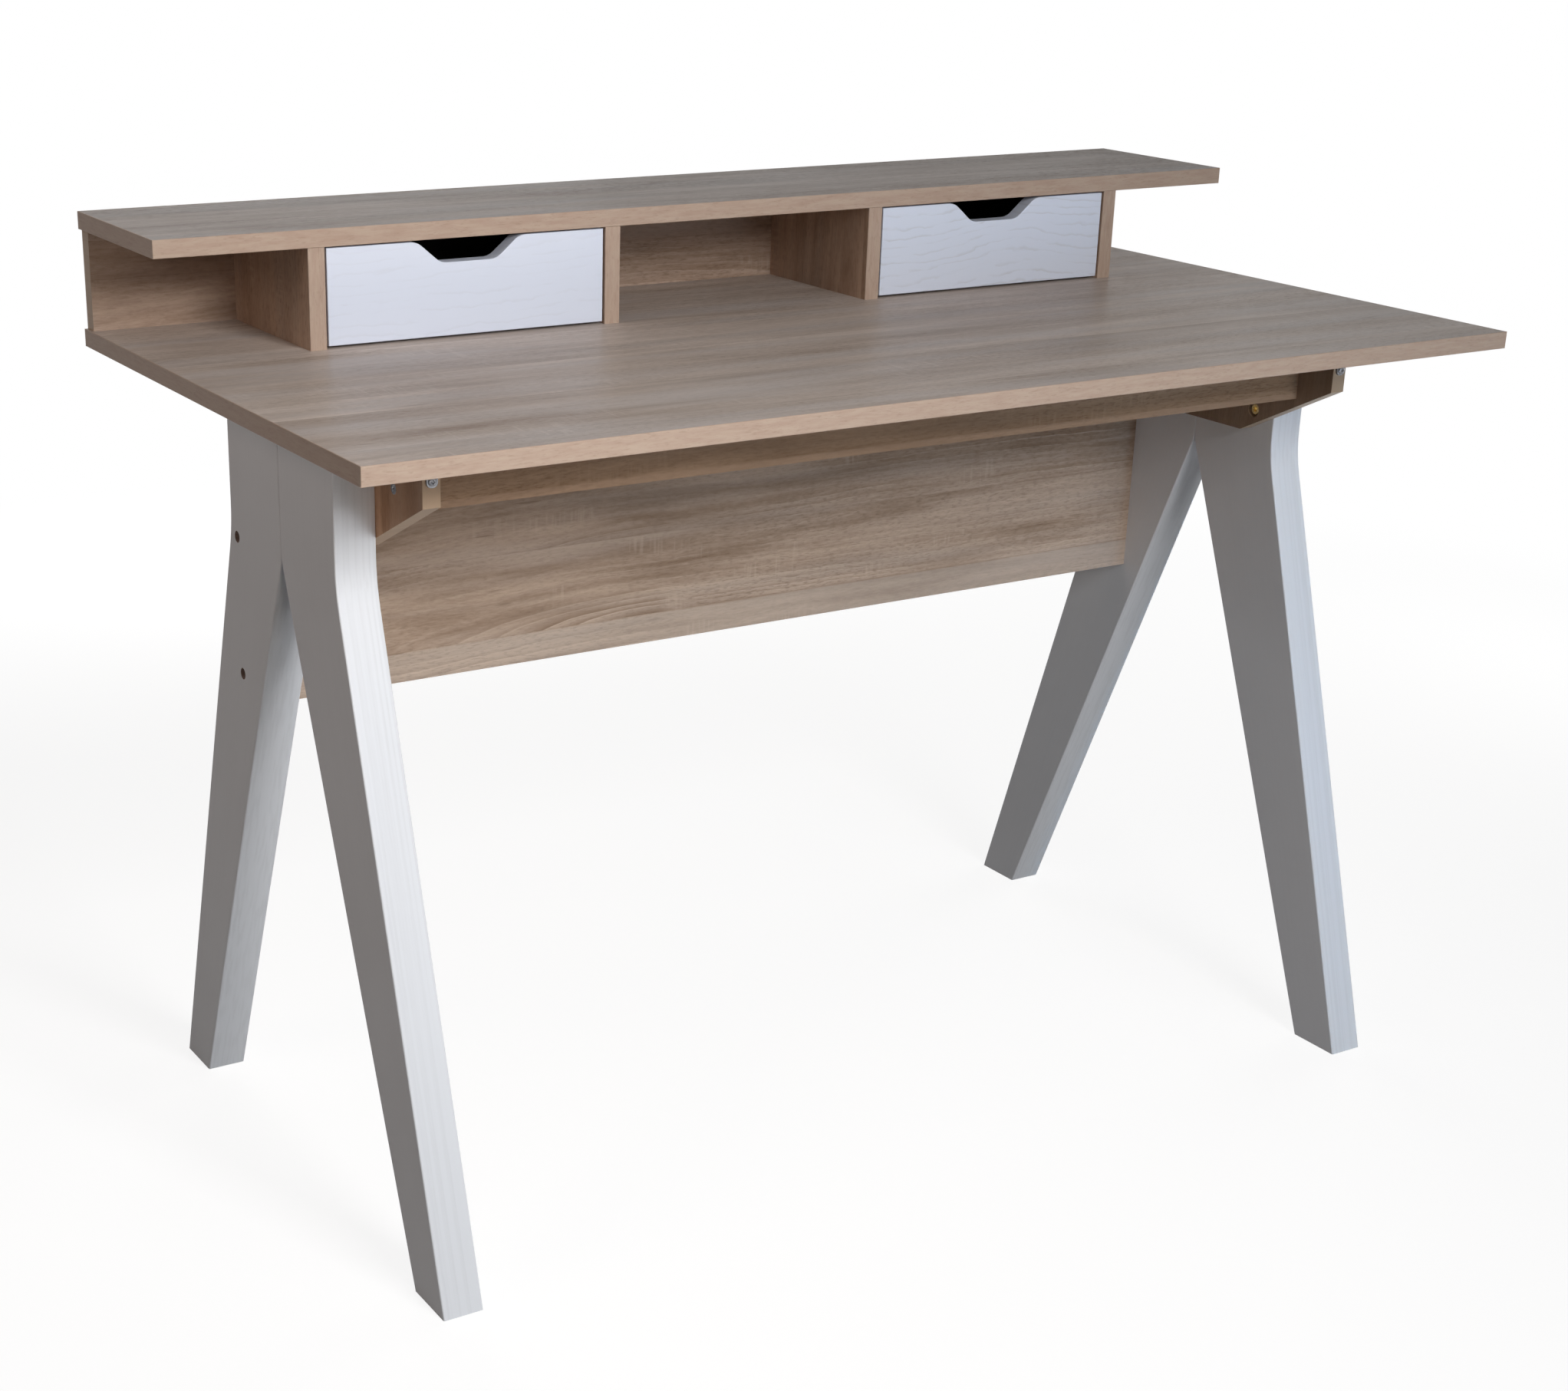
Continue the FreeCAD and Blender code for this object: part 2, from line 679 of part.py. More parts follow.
hutch_back = box(
    -hutch_back_half, hutch_back_half, hutch_back_front_y, hutch_back_rear_y, desk_height, shelf_bottom_z
)
save("hutch_back_panel", cut(hutch_back, hutch_dowel_holes + hutch_screws))
save("hutch_dowels", *hutch_dowels)
save("hutch_screws", *hutch_screws)

# Frames, brackets, rail and panel
for side, sign in sides.items():
    for end, end_sign in ends.items():
        save(f"{side}_{end}_leg", leg(sign, end_sign))
    save(f"{side}_bracket", bracket(sign))
rail = box(
    -bracket_inner_x, bracket_inner_x, rail_front_y, rail_front_y + rail_thickness, rail_bottom_z, underside_z
)
save("front_rail", cut(rail, rail_screws))
panel = box(
    -leg_inner_x, leg_inner_x, panel_rear_y - panel_thickness, panel_rear_y, panel_bottom_z, bracket_bottom_z
)
save("modesty_panel", cut(panel, panel_bolt_holes + cross_nut_holes))
save("leg_seam_dowels", *seam_dowels)
save("bracket_dowels", *bracket_dowels)
save("bracket_bolts", *bracket_bolts)
save("leg_threaded_sleeves", *leg_sleeves)
save("panel_bolts", *panel_bolts)
save("panel_cross_nuts", *cross_nuts)
save("rail_screws", *rail_screws)
save("desktop_angles", *angles)
save("angle_screws", *angle_screws)

# Drawers
for side, sign in sides.items():
    drawer(f"{side}_drawer", sign * drawer_centre_x)
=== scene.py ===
import json
import math

import bpy
import numpy as np
from mathutils import Matrix, Vector


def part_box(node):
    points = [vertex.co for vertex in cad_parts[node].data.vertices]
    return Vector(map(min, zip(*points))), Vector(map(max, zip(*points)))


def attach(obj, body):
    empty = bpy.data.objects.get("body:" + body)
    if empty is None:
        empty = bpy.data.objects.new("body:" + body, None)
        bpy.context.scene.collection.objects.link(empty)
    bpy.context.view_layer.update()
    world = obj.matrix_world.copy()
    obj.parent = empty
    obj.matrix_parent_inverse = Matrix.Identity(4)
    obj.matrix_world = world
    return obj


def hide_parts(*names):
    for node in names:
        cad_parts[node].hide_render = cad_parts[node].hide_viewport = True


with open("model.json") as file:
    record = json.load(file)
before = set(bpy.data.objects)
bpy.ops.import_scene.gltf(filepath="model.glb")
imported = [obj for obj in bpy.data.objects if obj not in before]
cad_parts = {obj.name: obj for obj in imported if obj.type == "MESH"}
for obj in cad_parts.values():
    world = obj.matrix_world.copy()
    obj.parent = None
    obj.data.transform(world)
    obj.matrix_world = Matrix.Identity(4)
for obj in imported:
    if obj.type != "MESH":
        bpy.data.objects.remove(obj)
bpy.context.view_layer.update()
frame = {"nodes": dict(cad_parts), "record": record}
nodes = frame["nodes"]
scene = bpy.context.scene
scene.view_settings.view_transform = "Standard"
print("frame loaded:", len(nodes), "pieces of the desk")

# Camera: a long lens, high in front of the desk's left end. Pixels are of the 2044 x 1813 picture.

cameraView = {
    "image": (2044, 1813),
    "focal": 3283.5,
    "centre": (821.9, 1065.8),          # where the lens axis meets the picture
    "place": (-1.3496, -1.9459, 1.1862),
    "yaw": -30.851,
    "pitch": 21.476,
    "roll": -0.915,
    "sensor": 36.0,
}


def makeCamera(view):
    yaw, pitch, roll = (math.radians(view[name]) for name in ("yaw", "pitch", "roll"))
    ahead = Vector((-math.sin(yaw) * math.cos(pitch), math.cos(yaw) * math.cos(pitch), -math.sin(pitch)))
    level = Vector((math.cos(yaw), math.sin(yaw), 0))
    down = ahead.cross(level)
    right = level * math.cos(roll) + down * math.sin(roll)
    up = level * math.sin(roll) - down * math.cos(roll)
    turn = Matrix((right, up, -ahead)).transposed()
    lens = bpy.data.cameras.new("camera")
    wide, high = view["image"]
    lens.sensor_fit = "HORIZONTAL"
    lens.sensor_width = view["sensor"]
    lens.lens = view["focal"] / wide * view["sensor"]
    lens.shift_x = (wide / 2 - view["centre"][0]) / wide
    lens.shift_y = (view["centre"][1] - high / 2) / wide
    camera = bpy.data.objects.new("camera", lens)
    camera.matrix_world = Matrix.Translation(view["place"]) @ turn.to_4x4()
    scene.collection.objects.link(camera)
    scene.camera = camera


makeCamera(cameraView)
print("camera set")

# Small helpers for shader nodes


def put(tree, kind, inputs=None, **options):
    # one node; each input is a plain value or another node's output
    node = tree.nodes.new("ShaderNode" + kind)
    for option, value in options.items():
        setattr(node, option, value)
    for socket, value in (inputs or {}).items():
        if isinstance(value, bpy.types.NodeSocket):
            tree.links.new(value, node.inputs[socket])
        else:
            node.inputs[socket].default_value = value
    return node


def mathOf(tree, operation, *terms, clamp=False):
    return put(tree, "Math", dict(enumerate(terms)), operation=operation, use_clamp=clamp).outputs[0]


def noiseOf(tree, vector, stretch, start, detail=2.0, roughness=0.5):
    # noise with its own number of waves per metre along each axis; start picks another part of it
    offset = (start, 0.7 * start, 1.3 * start)
    spread = put(tree, "Mapping", {"Vector": vector, "Scale": stretch, "Location": offset}).outputs[0]
    values = {"Vector": spread, "Scale": 1.0, "Detail": detail, "Roughness": roughness}
    return put(tree, "TexNoise", values).outputs[0]


def stepOf(tree, value, low, high):
    # soft step: 0 below low, 1 above high
    values = {"Value": value, "From Min": low, "From Max": high}
    return put(tree, "MapRange", values, interpolation_type="SMOOTHSTEP").outputs[0]


def dropOf(tree, value, low, high):
    # the other way round: 1 below low, 0 above high
    return mathOf(tree, "SUBTRACT", 1.0, stepOf(tree, value, low, high))


def liftOf(tree, value, least):
    # 0 to 1 becomes least to 1
    return mathOf(tree, "MULTIPLY_ADD", value, 1.0 - least, least)


def swingOf(tree, value, middle, swing):
    # 0 to 1 becomes a swing about a middle
    return mathOf(tree, "MULTIPLY_ADD", value, swing, middle - swing / 2)


def mixOf(tree, factor, first, second):
    return put(tree, "Mix", {0: factor, 6: first, 7: second}, data_type="RGBA").outputs[2]


def rampOf(tree, value, stops):
    # grey curve through (position, height) stops
    node = put(tree, "ValToRGB", {0: value})
    elements = node.color_ramp.elements
    while len(elements) < len(stops):
        elements.new(0.5)
    for element, (position, height) in zip(elements, stops):
        element.position = position
        element.color = (height, height, height, 1)
    return node.outputs[0]


def bumpOf(tree, height, depth, strength):
    return put(tree, "Bump", {"Height": height, "Distance": depth, "Strength": strength}).outputs[0]


def newGroup(name, inputs, outputs):
    # an input that is None is a vector, the others are numbers
    group = bpy.data.node_groups.new(name, "ShaderNodeTree")
    for label, value in inputs.items():
        kind = "NodeSocketVector" if value is None else "NodeSocketFloat"
        socket = group.interface.new_socket(label, in_out="INPUT", socket_type=kind)
        if value is not None:
            socket.default_value = value
    for label in outputs:
        group.interface.new_socket(label, in_out="OUTPUT", socket_type="NodeSocketFloat")
    return group, group.nodes.new("NodeGroupInput").outputs, group.nodes.new("NodeGroupOutput").inputs


def useGroup(tree, group, inputs):
    return put(tree, "Group", inputs, node_tree=group).outputs


def newMaterial(name):
    material = bpy.data.materials.new(name)
    material.use_nodes = True
    tree = material.node_tree
    tree.nodes.clear()
    shader = put(tree, "BsdfPrincipled")
    put(tree, "OutputMaterial", {"Surface": shader.outputs[0]})
    return material, tree, shader


def join(tree, shader, **sources):
    # links outputs to the shader's sockets, written as one word each
    names = {"colour": "Base Color", "roughness": "Roughness", "normal": "Normal"}
    for word, source in sources.items():
        tree.links.new(source, shader.inputs[names[word]])


def fix(shader, **values):
    # values that are the same all over a surface
    names = {"specular": "Specular IOR Level", "metallic": "Metallic"}
    for word, value in values.items():
        shader.inputs[names[word]].default_value = value


def colour(red, green, blue):
    return (red, green, blue, 1.0)


def dress(material, *names):
    for name in names:
        nodes[name].material_slots[0].material = material


# Node groups that several finishes share.
# A noise is written as its waves per metre along X, Y and Z, its start, its detail and its roughness,
# and a step as where it starts and where it is full.

oakGrain = {                            # X along the grain, Y across it, Z out of the face
    "noises": {
        "sway": ((2.4, 10.0, 1.0), 3.1),
        "wobble": ((16.0, 45.0, 1.0), 5.5),
        "rise": ((1.7, 0.0, 1.0), 8.3, 1.0),
        "drift": ((0.6, 45.0, 1.0), 2.7),
        "patch": ((2.2, 12.0, 1.0), 12.0),
        "streak": ((6.0, 100.0, 1.0), 4.4, 3.0, 0.6),
        "broad": ((4.0, 30.0, 1.0), 6.1, 2.5),
        "fibre": ((80.0, 420.0, 1.0), 1.7, 4.0, 0.65),
        "dash": ((130.0, 720.0, 1.0), 9.4, 3.0),
        "knot": ((17.0, 190.0, 1.0), 16.2, 1.0),
        "cut": ((290.0, 20.0, 1.0), 2.2, 1.0),
        "sawn": ((11.0, 30.0, 1.0), 14.6),
    },
    "steps": {
        "patch": (0.36, 0.66),
        "dash": (0.48, 0.68),
        "knot": (0.72, 0.80),
        "cut": (0.48, 0.68),
        "sawn": (0.57, 0.70),
        "tilted": (0.0, 0.004),         # metres that the pith has sunk
        "far": (0.025, 0.050),          # metres from the pith
        "inside": (0.0002, 0.0009),     # metres from a plank's edge
    },
    "late": [(0.0, 0.05), (0.06, 0.0), (0.13, 1.0), (0.6, 0.32), (1.0, 0.05)],      # dark wood over one ring
    "early": [(0.0, 0.7), (0.03, 1.0), (0.09, 0.0), (0.94, 0.0), (1.0, 0.7)],       # pale line between two
    "plankShift": 30.0,                 # metres that a plank's figure may start further along
    "seedApart": 3.7,
    "plankApart": 1.9,
    "pithSpread": 0.7,                  # of a plank's width
    "sway": 0.024,
    "wobble": 0.004,
    "archLeast": 0.1,
    "riseLevel": 0.25,
    "streakSlope": 0.25,                # how far streaks also follow the place across
    "drift": 1.8,                       # rings
    "ringLeast": 0.25,
    "patchShare": 0.65,                 # of the rings that shows away from the pith
    "dashLeast": 0.4,
}


def makeOakFigure():
    # Flat-sawn planks glued edge to edge. The year rings are circles round a pith line that rises and sinks
    # along the plank: ring radius = root of (distance across squared + height above the pith squared).
    # Lean sinks the pith line on one side of Apex, so that the rings run out there in nested arches.
    # Streaks follow the rings. Fibres and pores run along the plank, with its sway.
    inputs = {
        "Vector": None, "Plank": 0.12, "Seed": 0.0, "Ring": 0.006, "Arch": 0.12,
        "Pith": 0.0, "Lean": 0.0, "Apex": 0.0,
    }
    outputs = ("Ring", "Line", "Fibre", "Streak", "Broad", "Pore", "Saw", "Tone", "Joint")
    group, given, gives = newGroup("oakFigure", inputs, outputs)

    def calc(operation, *terms):
        return mathOf(group, operation, *terms)

    def noise(name, vector):
        return noiseOf(group, vector, *oakGrain["noises"][name])

    def step(name, value):
        return stepOf(group, value, *oakGrain["steps"][name])

    place = put(group, "SeparateXYZ", {0: given["Vector"]}).outputs
    across = calc("DIVIDE", place[1], given["Plank"])
    index = calc("FLOOR", across)
    inPlank = calc("FRACT", across)
    seeds = put(group, "CombineXYZ", {0: index, 1: given["Seed"]}).outputs[0]
    chance = put(group, "TexWhiteNoise", {"Vector": seeds}, noise_dimensions="2D").outputs
    lots = put(group, "SeparateColor", {0: chance["Color"]}).outputs
    along = calc("MULTIPLY_ADD", lots[0], oakGrain["plankShift"], place[0])
    apart = calc("MULTIPLY", index, oakGrain["plankApart"])
    apart = calc("MULTIPLY_ADD", given["Seed"], oakGrain["seedApart"], apart)
    level = calc("ADD", apart, place[2])
    flow = put(group, "CombineXYZ", {0: along, 1: place[1], 2: level}).outputs[0]

    # rings
    fromPith = calc("MULTIPLY_ADD", calc("SUBTRACT", lots[1], 0.5), oakGrain["pithSpread"], given["Pith"])
    fromPith = calc("ADD", fromPith, calc("SUBTRACT", inPlank, 0.5))
    sway = calc("MULTIPLY", calc("SUBTRACT", noise("sway", flow), 0.5), oakGrain["sway"])
    wobble = calc("SUBTRACT", noise("wobble", flow), 0.5)
    sway = calc("MULTIPLY_ADD", wobble, oakGrain["wobble"], sway)
    sideways = calc("MULTIPLY_ADD", fromPith, given["Plank"], sway)
    swayed = put(group, "CombineXYZ", {0: along, 1: calc("ADD", place[1], sway), 2: level}).outputs[0]
    rise = calc("SUBTRACT", noise("rise", flow), oakGrain["riseLevel"])
    arch = calc("MULTIPLY", given["Arch"], liftOf(group, chance["Value"], oakGrain["archLeast"]))
    tilt = calc("MULTIPLY", calc("SUBTRACT", place[0], given["Apex"]), given["Lean"])
    tilt = calc("MAXIMUM", tilt, 0.0)
    height = calc("MULTIPLY_ADD", rise, arch, tilt)
    squares = calc("MULTIPLY_ADD", height, height, calc("MULTIPLY", sideways, sideways))
    radius = calc("SQRT", squares)
    depth = calc("MULTIPLY_ADD", place[1], oakGrain["streakSlope"], radius)
    rounds = put(group, "CombineXYZ", {0: along, 1: depth, 2: level}).outputs[0]
    phase = calc("DIVIDE", radius, given["Ring"])
    phase = calc("MULTIPLY_ADD", noise("drift", rounds), oakGrain["drift"], phase)
    number = calc("ADD", calc("FLOOR", phase), apart)
    ringChance = put(group, "TexWhiteNoise", {"W": number}, noise_dimensions="1D").outputs[0]
    patch = step("patch", noise("patch", flow))
    near = calc("SUBTRACT", 1.0, step("far", radius))
    near = calc("MULTIPLY", near, step("tilted", tilt))
    shown = calc("MAXIMUM", calc("MULTIPLY", patch, oakGrain["patchShare"]), near)
    strong = calc("MULTIPLY", liftOf(group, ringChance, oakGrain["ringLeast"]), shown)
    turn = calc("FRACT", phase)

    # pores, saw marks across the grain in patches, and the glue joints between planks
    dashes = step("dash", noise("dash", swayed))
    dashes = calc("MULTIPLY", dashes, liftOf(group, patch, oakGrain["dashLeast"]))
    knots = step("knot", noise("knot", swayed))
    cuts = step("cut", noise("cut", flow))
    sawn = step("sawn", noise("sawn", flow))
    edge = calc("MINIMUM", inPlank, calc("SUBTRACT", 1.0, inPlank))
    edge = calc("MULTIPLY", edge, given["Plank"])
    results = {
        "Ring": calc("MULTIPLY", rampOf(group, turn, oakGrain["late"]), strong),
        "Line": calc("MULTIPLY", rampOf(group, turn, oakGrain["early"]), strong),
        "Fibre": noise("fibre", swayed),
        "Streak": noise("streak", rounds),
        "Broad": noise("broad", swayed),
        "Pore": calc("MAXIMUM", dashes, knots),
        "Saw": calc("MULTIPLY", cuts, sawn),
        "Tone": lots[2],
        "Joint": calc("SUBTRACT", 1.0, step("inside", edge)),
    }
    for label, source in results.items():
        group.links.new(source, gives[label])
    return group


paintGrain = {                          # X along the grain
    "along": 1.5,                       # waves per metre
    "detail": 0.5,
    "lineStep": (0.42, 0.66),
    "strokes": ((40.0, 700.0, 700.0), 6.0),
    "strokeStep": (0.40, 0.62),
    "strokeLeast": 0.65,
    "cloud": ((3.0, 26.0, 26.0), 4.0),
}


def makeOpenGrain():
    # Grain that shows through paint: long soft lines about a pitch apart, slightly broken
    group, given, gives = newGroup("openGrain", {"Vector": None, "Pitch": 0.006}, ("Groove", "Cloud"))
    across = mathOf(group, "DIVIDE", 1.0, given["Pitch"])
    stretch = put(group, "CombineXYZ", {0: paintGrain["along"], 1: across, 2: across}).outputs[0]
    spread = put(group, "VectorMath", {0: given["Vector"], 1: stretch}, operation="MULTIPLY").outputs[0]
    values = {"Vector": spread, "Scale": 1.0, "Detail": paintGrain["detail"], "Roughness": 0.5}
    lines = stepOf(group, put(group, "TexNoise", values).outputs[0], *paintGrain["lineStep"])
    strokes = noiseOf(group, given["Vector"], *paintGrain["strokes"])
    strokes = stepOf(group, strokes, *paintGrain["strokeStep"])
    groove = mathOf(group, "MULTIPLY", lines, liftOf(group, strokes, paintGrain["strokeLeast"]))
    group.links.new(groove, gives["Groove"])
    group.links.new(noiseOf(group, given["Vector"], *paintGrain["cloud"]), gives["Cloud"])
    return group


waveGrain = {
    "width": 0.09,                      # metres from the middle to where the bulge is half as high
    "wander": ((11.0, 30.0, 1.0), 3.0),
    "wanderSize": 0.022,
    "tremble": ((70.0, 120.0, 1.0), 6.0),
    "trembleSize": 0.006,
    "weakest": 0.4,
    "line": [(0.0, 0.0), (0.32, 0.0), (0.42, 1.0), (0.64, 0.0), (1.0, 0.0)],        # over one pitch
    "breaks": ((24.0, 150.0, 1.0), 9.0, 3.0),
    "breakStep": (0.37, 0.58),
}


def makeWavyLines():
    # Broken lines one pitch apart that bulge upwards round Middle:
    # height = bulge / (1 + (distance from the middle / width) squared)
    inputs = {"Vector": None, "Pitch": 0.01, "Bulge": 0.02, "Middle": 0.0, "Seed": 0.0}
    group, given, gives = newGroup("wavyLines", inputs, ("Line",))

    def calc(operation, *terms):
        return mathOf(group, operation, *terms)

    place = put(group, "SeparateXYZ", {0: given["Vector"]}).outputs
    flow = put(group, "CombineXYZ", {0: place[0], 1: place[1], 2: given["Seed"]}).outputs[0]
    away = calc("DIVIDE", calc("SUBTRACT", place[0], given["Middle"]), waveGrain["width"])
    bulge = calc("DIVIDE", given["Bulge"], calc("MULTIPLY_ADD", away, away, 1.0))
    wander = calc("SUBTRACT", noiseOf(group, flow, *waveGrain["wander"]), 0.5)
    tremble = calc("SUBTRACT", noiseOf(group, flow, *waveGrain["tremble"]), 0.5)
    level = calc("SUBTRACT", place[1], bulge)
    level = calc("MULTIPLY_ADD", tremble, waveGrain["trembleSize"], level)
    level = calc("MULTIPLY_ADD", wander, waveGrain["wanderSize"], level)
    phase = calc("DIVIDE", level, given["Pitch"])
    chance = put(group, "TexWhiteNoise", {"W": calc("FLOOR", phase)}, noise_dimensions="1D").outputs[0]
    line = rampOf(group, calc("FRACT", phase), waveGrain["line"])
    line = calc("MULTIPLY", line, liftOf(group, chance, waveGrain["weakest"]))
    unbroken = stepOf(group, noiseOf(group, flow, *waveGrain["breaks"]), *waveGrain["breakStep"])
    group.links.new(calc("MULTIPLY", line, unbroken), gives["Line"])
    return group


smudges = {
    "large": ((5.0, 5.0, 5.0), 2.0, 3.0),
    "small": ((38.0, 38.0, 38.0), 7.0, 3.0),
    "smallShare": 0.4,
}


def makeSmudge():
    # Soft uneven patches that change how glossy a surface is
    group, given, gives = newGroup("smudge", {"Vector": None}, ("Patch",))
    large = noiseOf(group, given["Vector"], *smudges["large"])
    small = noiseOf(group, given["Vector"], *smudges["small"])
    large = mathOf(group, "MULTIPLY", large, 1.0 - smudges["smallShare"])
    group.links.new(mathOf(group, "MULTIPLY_ADD", small, smudges["smallShare"], large), gives["Patch"])
    return group


oakFigure = makeOakFigure()
openGrain = makeOpenGrain()
wavyLines = makeWavyLines()
smudge = makeSmudge()
print("node groups made")

# Oak-look boards. Grain space: X along the grain, Y across it, Z out of the face.

grainTurns = {
    "flat": (0, 0, 0),                                # grain along the desk, face up
    "upright": (-math.pi / 2, 0, 0),                  # grain along the desk, face to the front
    "side": (0, math.pi / 2, 0),                      # grain upright, face to the side
}

oak = {
    "light": colour(0.520, 0.405, 0.310),
    "dark": colour(0.235, 0.160, 0.108),
    "grey": colour(0.430, 0.360, 0.300),
    "ring": colour(0.190, 0.122, 0.078),
    "pore": colour(0.120, 0.078, 0.053),
    "pale": colour(0.560, 0.455, 0.360),
    "tones": ("light", "dark", "grey", "ring", "pore", "pale"),         # those that a board's tint changes
    "level": 0.58,                      # of the mix from dark to light, and what swings it
    "shares": {"Broad": 1.3, "Streak": 1.35, "Fibre": 0.7, "Tone": 0.25},
    "marks": {
        "Ring": ("ring", 0.70),
        "Line": ("pale", 0.55),
        "Pore": ("pore", 0.38),
        "Saw": ("pale", 0.26),
        "Joint": ("pore", 0.12),
    },
    # what a board's own fine, broad and rings make weaker or stronger
    "scaled": {"fine": ("Fibre", "Streak", "Pore"), "broad": ("Broad",), "rings": ("Ring", "Line")},
    "cool": ((2.0, 26.0, 26.0), 21.0),  # greyer streaks
    "coolStep": (0.42, 0.72),
    "coolShare": 0.55,
    "edge": colour(0.560, 0.420, 0.295),                # of a board's cut edges
    "edgeShare": 0.75,
    "faceStep": (0.5, 0.8),
    "stripSoft": 0.001,
    "roughness": (0.36, 0.14),          # middle and swing
    "poreRoughness": 0.2,
    "fibreRelief": 0.4,                 # against a pore's
    "relief": (0.0002, 0.35),           # depth and strength
    "specular": 0.07,
    "plank": 0.118,
    # Each board's tint multiplies its wood colours to fit how bright and warm that board looked where it
    # stands, so the tints paint light and shade: the desktop's paints light and a grey sheen, the shelf's a
    # grey sheen and shade, the front rail's the shade under the desktop, the right bracket's shade, the left
    # bracket's and the dividers' warm light, and the modesty panel's light.
    "tints": {
        "plain": (1.10, 1.05, 1.07),
        "rail_painted_shade": (0.84, 0.70, 0.58),
        "grey": (1.27, 1.39, 1.60),
        "shelf_painted_sheen_shade": (0.97, 1.08, 1.28),
        "pale": (1.20, 1.17, 1.17),
        "red": (1.34, 1.06, 0.88),
        "bracket_painted_shade": (0.70, 0.63, 0.58),
        "divider_painted_light": (1.23, 1.13, 1.11),
    },
    "boards": {                         # strip: below this height, so much of this colour is mixed in
        "desktop": {
            "lie": "flat", "seed": 1.0, "shift": (0.0, 0.02), "tint": "grey",
            "fine": 0.6, "broad": 1.1, "rings": 0.5,
        },
        "shelf": {
            "lie": "flat", "seed": 2.0, "shift": (0.3, 0.05), "tint": "shelf_painted_sheen_shade", "fine": 0.75, "specular": 0.035,
        },
        "hutch_back_panel": {
            "lie": "upright", "seed": 3.0, "shift": (0.0, 0.03), "tint": "plain", "fine": 0.95, "broad": 0.65,
        },
        "front_rail": {
            "lie": "upright", "seed": 4.0, "shift": (0.0, 0.0), "tint": "rail_painted_shade", "broad": 0.6,
            "strip": (0.674, 0.4, colour(0.520, 0.350, 0.240)),
        },
        "modesty_panel": {
            "lie": "upright", "seed": 5.0, "shift": (0.0, -0.059), "tint": "pale", "plank": 0.081,
            "Pith": 0.97, "Lean": -0.14, "Apex": -0.08, "Arch": 0.01, "Ring": 0.0075,
            "broad": 1.25, "rings": 1.4, "strip": (0.463, 0.35, colour(0.580, 0.505, 0.440)),
        },
        "left_bracket": {
            "lie": "side", "seed": 6.0, "shift": (0.0, 0.0), "tint": "red", "fine": 0.6, "rings": 0.5,
        },
        "right_bracket": {
            "lie": "side", "seed": 7.0, "shift": (0.2, 0.03), "tint": "bracket_painted_shade", "fine": 0.6, "rings": 0.5,
        },
    },
}
for count, divider in enumerate(("outer_left", "inner_left", "inner_right", "outer_right")):
    oak["boards"][divider + "_divider"] = {
        "lie": "side", "seed": 8.0 + count, "shift": (0.1 * count, 0.0), "tint": "divider_painted_light",
        "fine": 0.8, "broad": 0.5, "rings": 0.3,
    }


def makeOakBoard(name, board):
    material, tree, shader = newMaterial(name + "_oak")
    place = put(tree, "TexCoord").outputs
    turn = grainTurns[board["lie"]]
    shift = (*board["shift"], 0.0)
    # the tint paints this board's light and shade into all its wood colours
    tint = oak["tints"][board["tint"]]
    tones = {tone: colour(*(part * share for part, share in zip(oak[tone], tint))) for tone in oak["tones"]}
    grain = put(tree, "Mapping", {"Vector": place["Object"], "Rotation": turn, "Location": shift}).outputs[0]
    values = {label: board[label] for label in ("Pith", "Lean", "Apex", "Arch", "Ring") if label in board}
    values.update({"Vector": grain, "Plank": board.get("plank", oak["plank"]), "Seed": board["seed"]})
    figure = useGroup(tree, oakFigure, values)
    patch = useGroup(tree, smudge, {"Vector": place["Object"]})["Patch"]

    # colour: dark to light wood, greyer streaks, the marks, a strip of another colour and the cut edges
    scale = {label: board.get(key, 1.0) for key, labels in oak["scaled"].items() for label in labels}
    shares = {label: share * scale.get(label, 1.0) for label, share in oak["shares"].items()}
    level = oak["level"] - 0.5 * sum(shares.values())
    for label, share in shares.items():
        level = mathOf(tree, "MULTIPLY_ADD", figure[label], share, level, clamp=label == "Tone")
    wood = mixOf(tree, level, tones["dark"], tones["light"])
    cool = stepOf(tree, noiseOf(tree, grain, *oak["cool"]), *oak["coolStep"])
    wood = mixOf(tree, mathOf(tree, "MULTIPLY", cool, oak["coolShare"]), wood, tones["grey"])
    for label, (tone, share) in oak["marks"].items():
        mark = mathOf(tree, "MULTIPLY", figure[label], share * scale.get(label, 1.0))
        wood = mixOf(tree, mark, wood, tones[tone])
    if "strip" in board:
        top, share, tone = board["strip"]
        high = put(tree, "SeparateXYZ", {0: place["Object"]}).outputs[2]
        below = dropOf(tree, high, top - oak["stripSoft"], top + oak["stripSoft"])
        wood = mixOf(tree, mathOf(tree, "MULTIPLY", below, share), wood, tone)
    facing = put(tree, "Mapping", {"Vector": place["Normal"], "Rotation": turn}).outputs[0]
    outward = mathOf(tree, "ABSOLUTE", put(tree, "SeparateXYZ", {0: facing}).outputs[2])
    cutEdge = dropOf(tree, outward, *oak["faceStep"])
    wood = mixOf(tree, mathOf(tree, "MULTIPLY", cutEdge, oak["edgeShare"]), wood, oak["edge"])
    join(tree, shader, colour=wood)

    uneven = swingOf(tree, patch, *oak["roughness"])
    join(tree, shader, roughness=mathOf(tree, "MULTIPLY_ADD", figure["Pore"], oak["poreRoughness"], uneven))
    fibres = mathOf(tree, "MULTIPLY", figure["Fibre"], oak["fibreRelief"])
    relief = mathOf(tree, "SUBTRACT", fibres, figure["Pore"])
    join(tree, shader, normal=bumpOf(tree, relief, *oak["relief"]))
    fix(shader, specular=board.get("specular", oak["specular"]))
    dress(material, name)


for boardName, board in oak["boards"].items():
    makeOakBoard(boardName, board)
print("oak boards dressed:", len(oak["boards"]))

# Edge bands: a paler, pinker strip with short streaks along its length

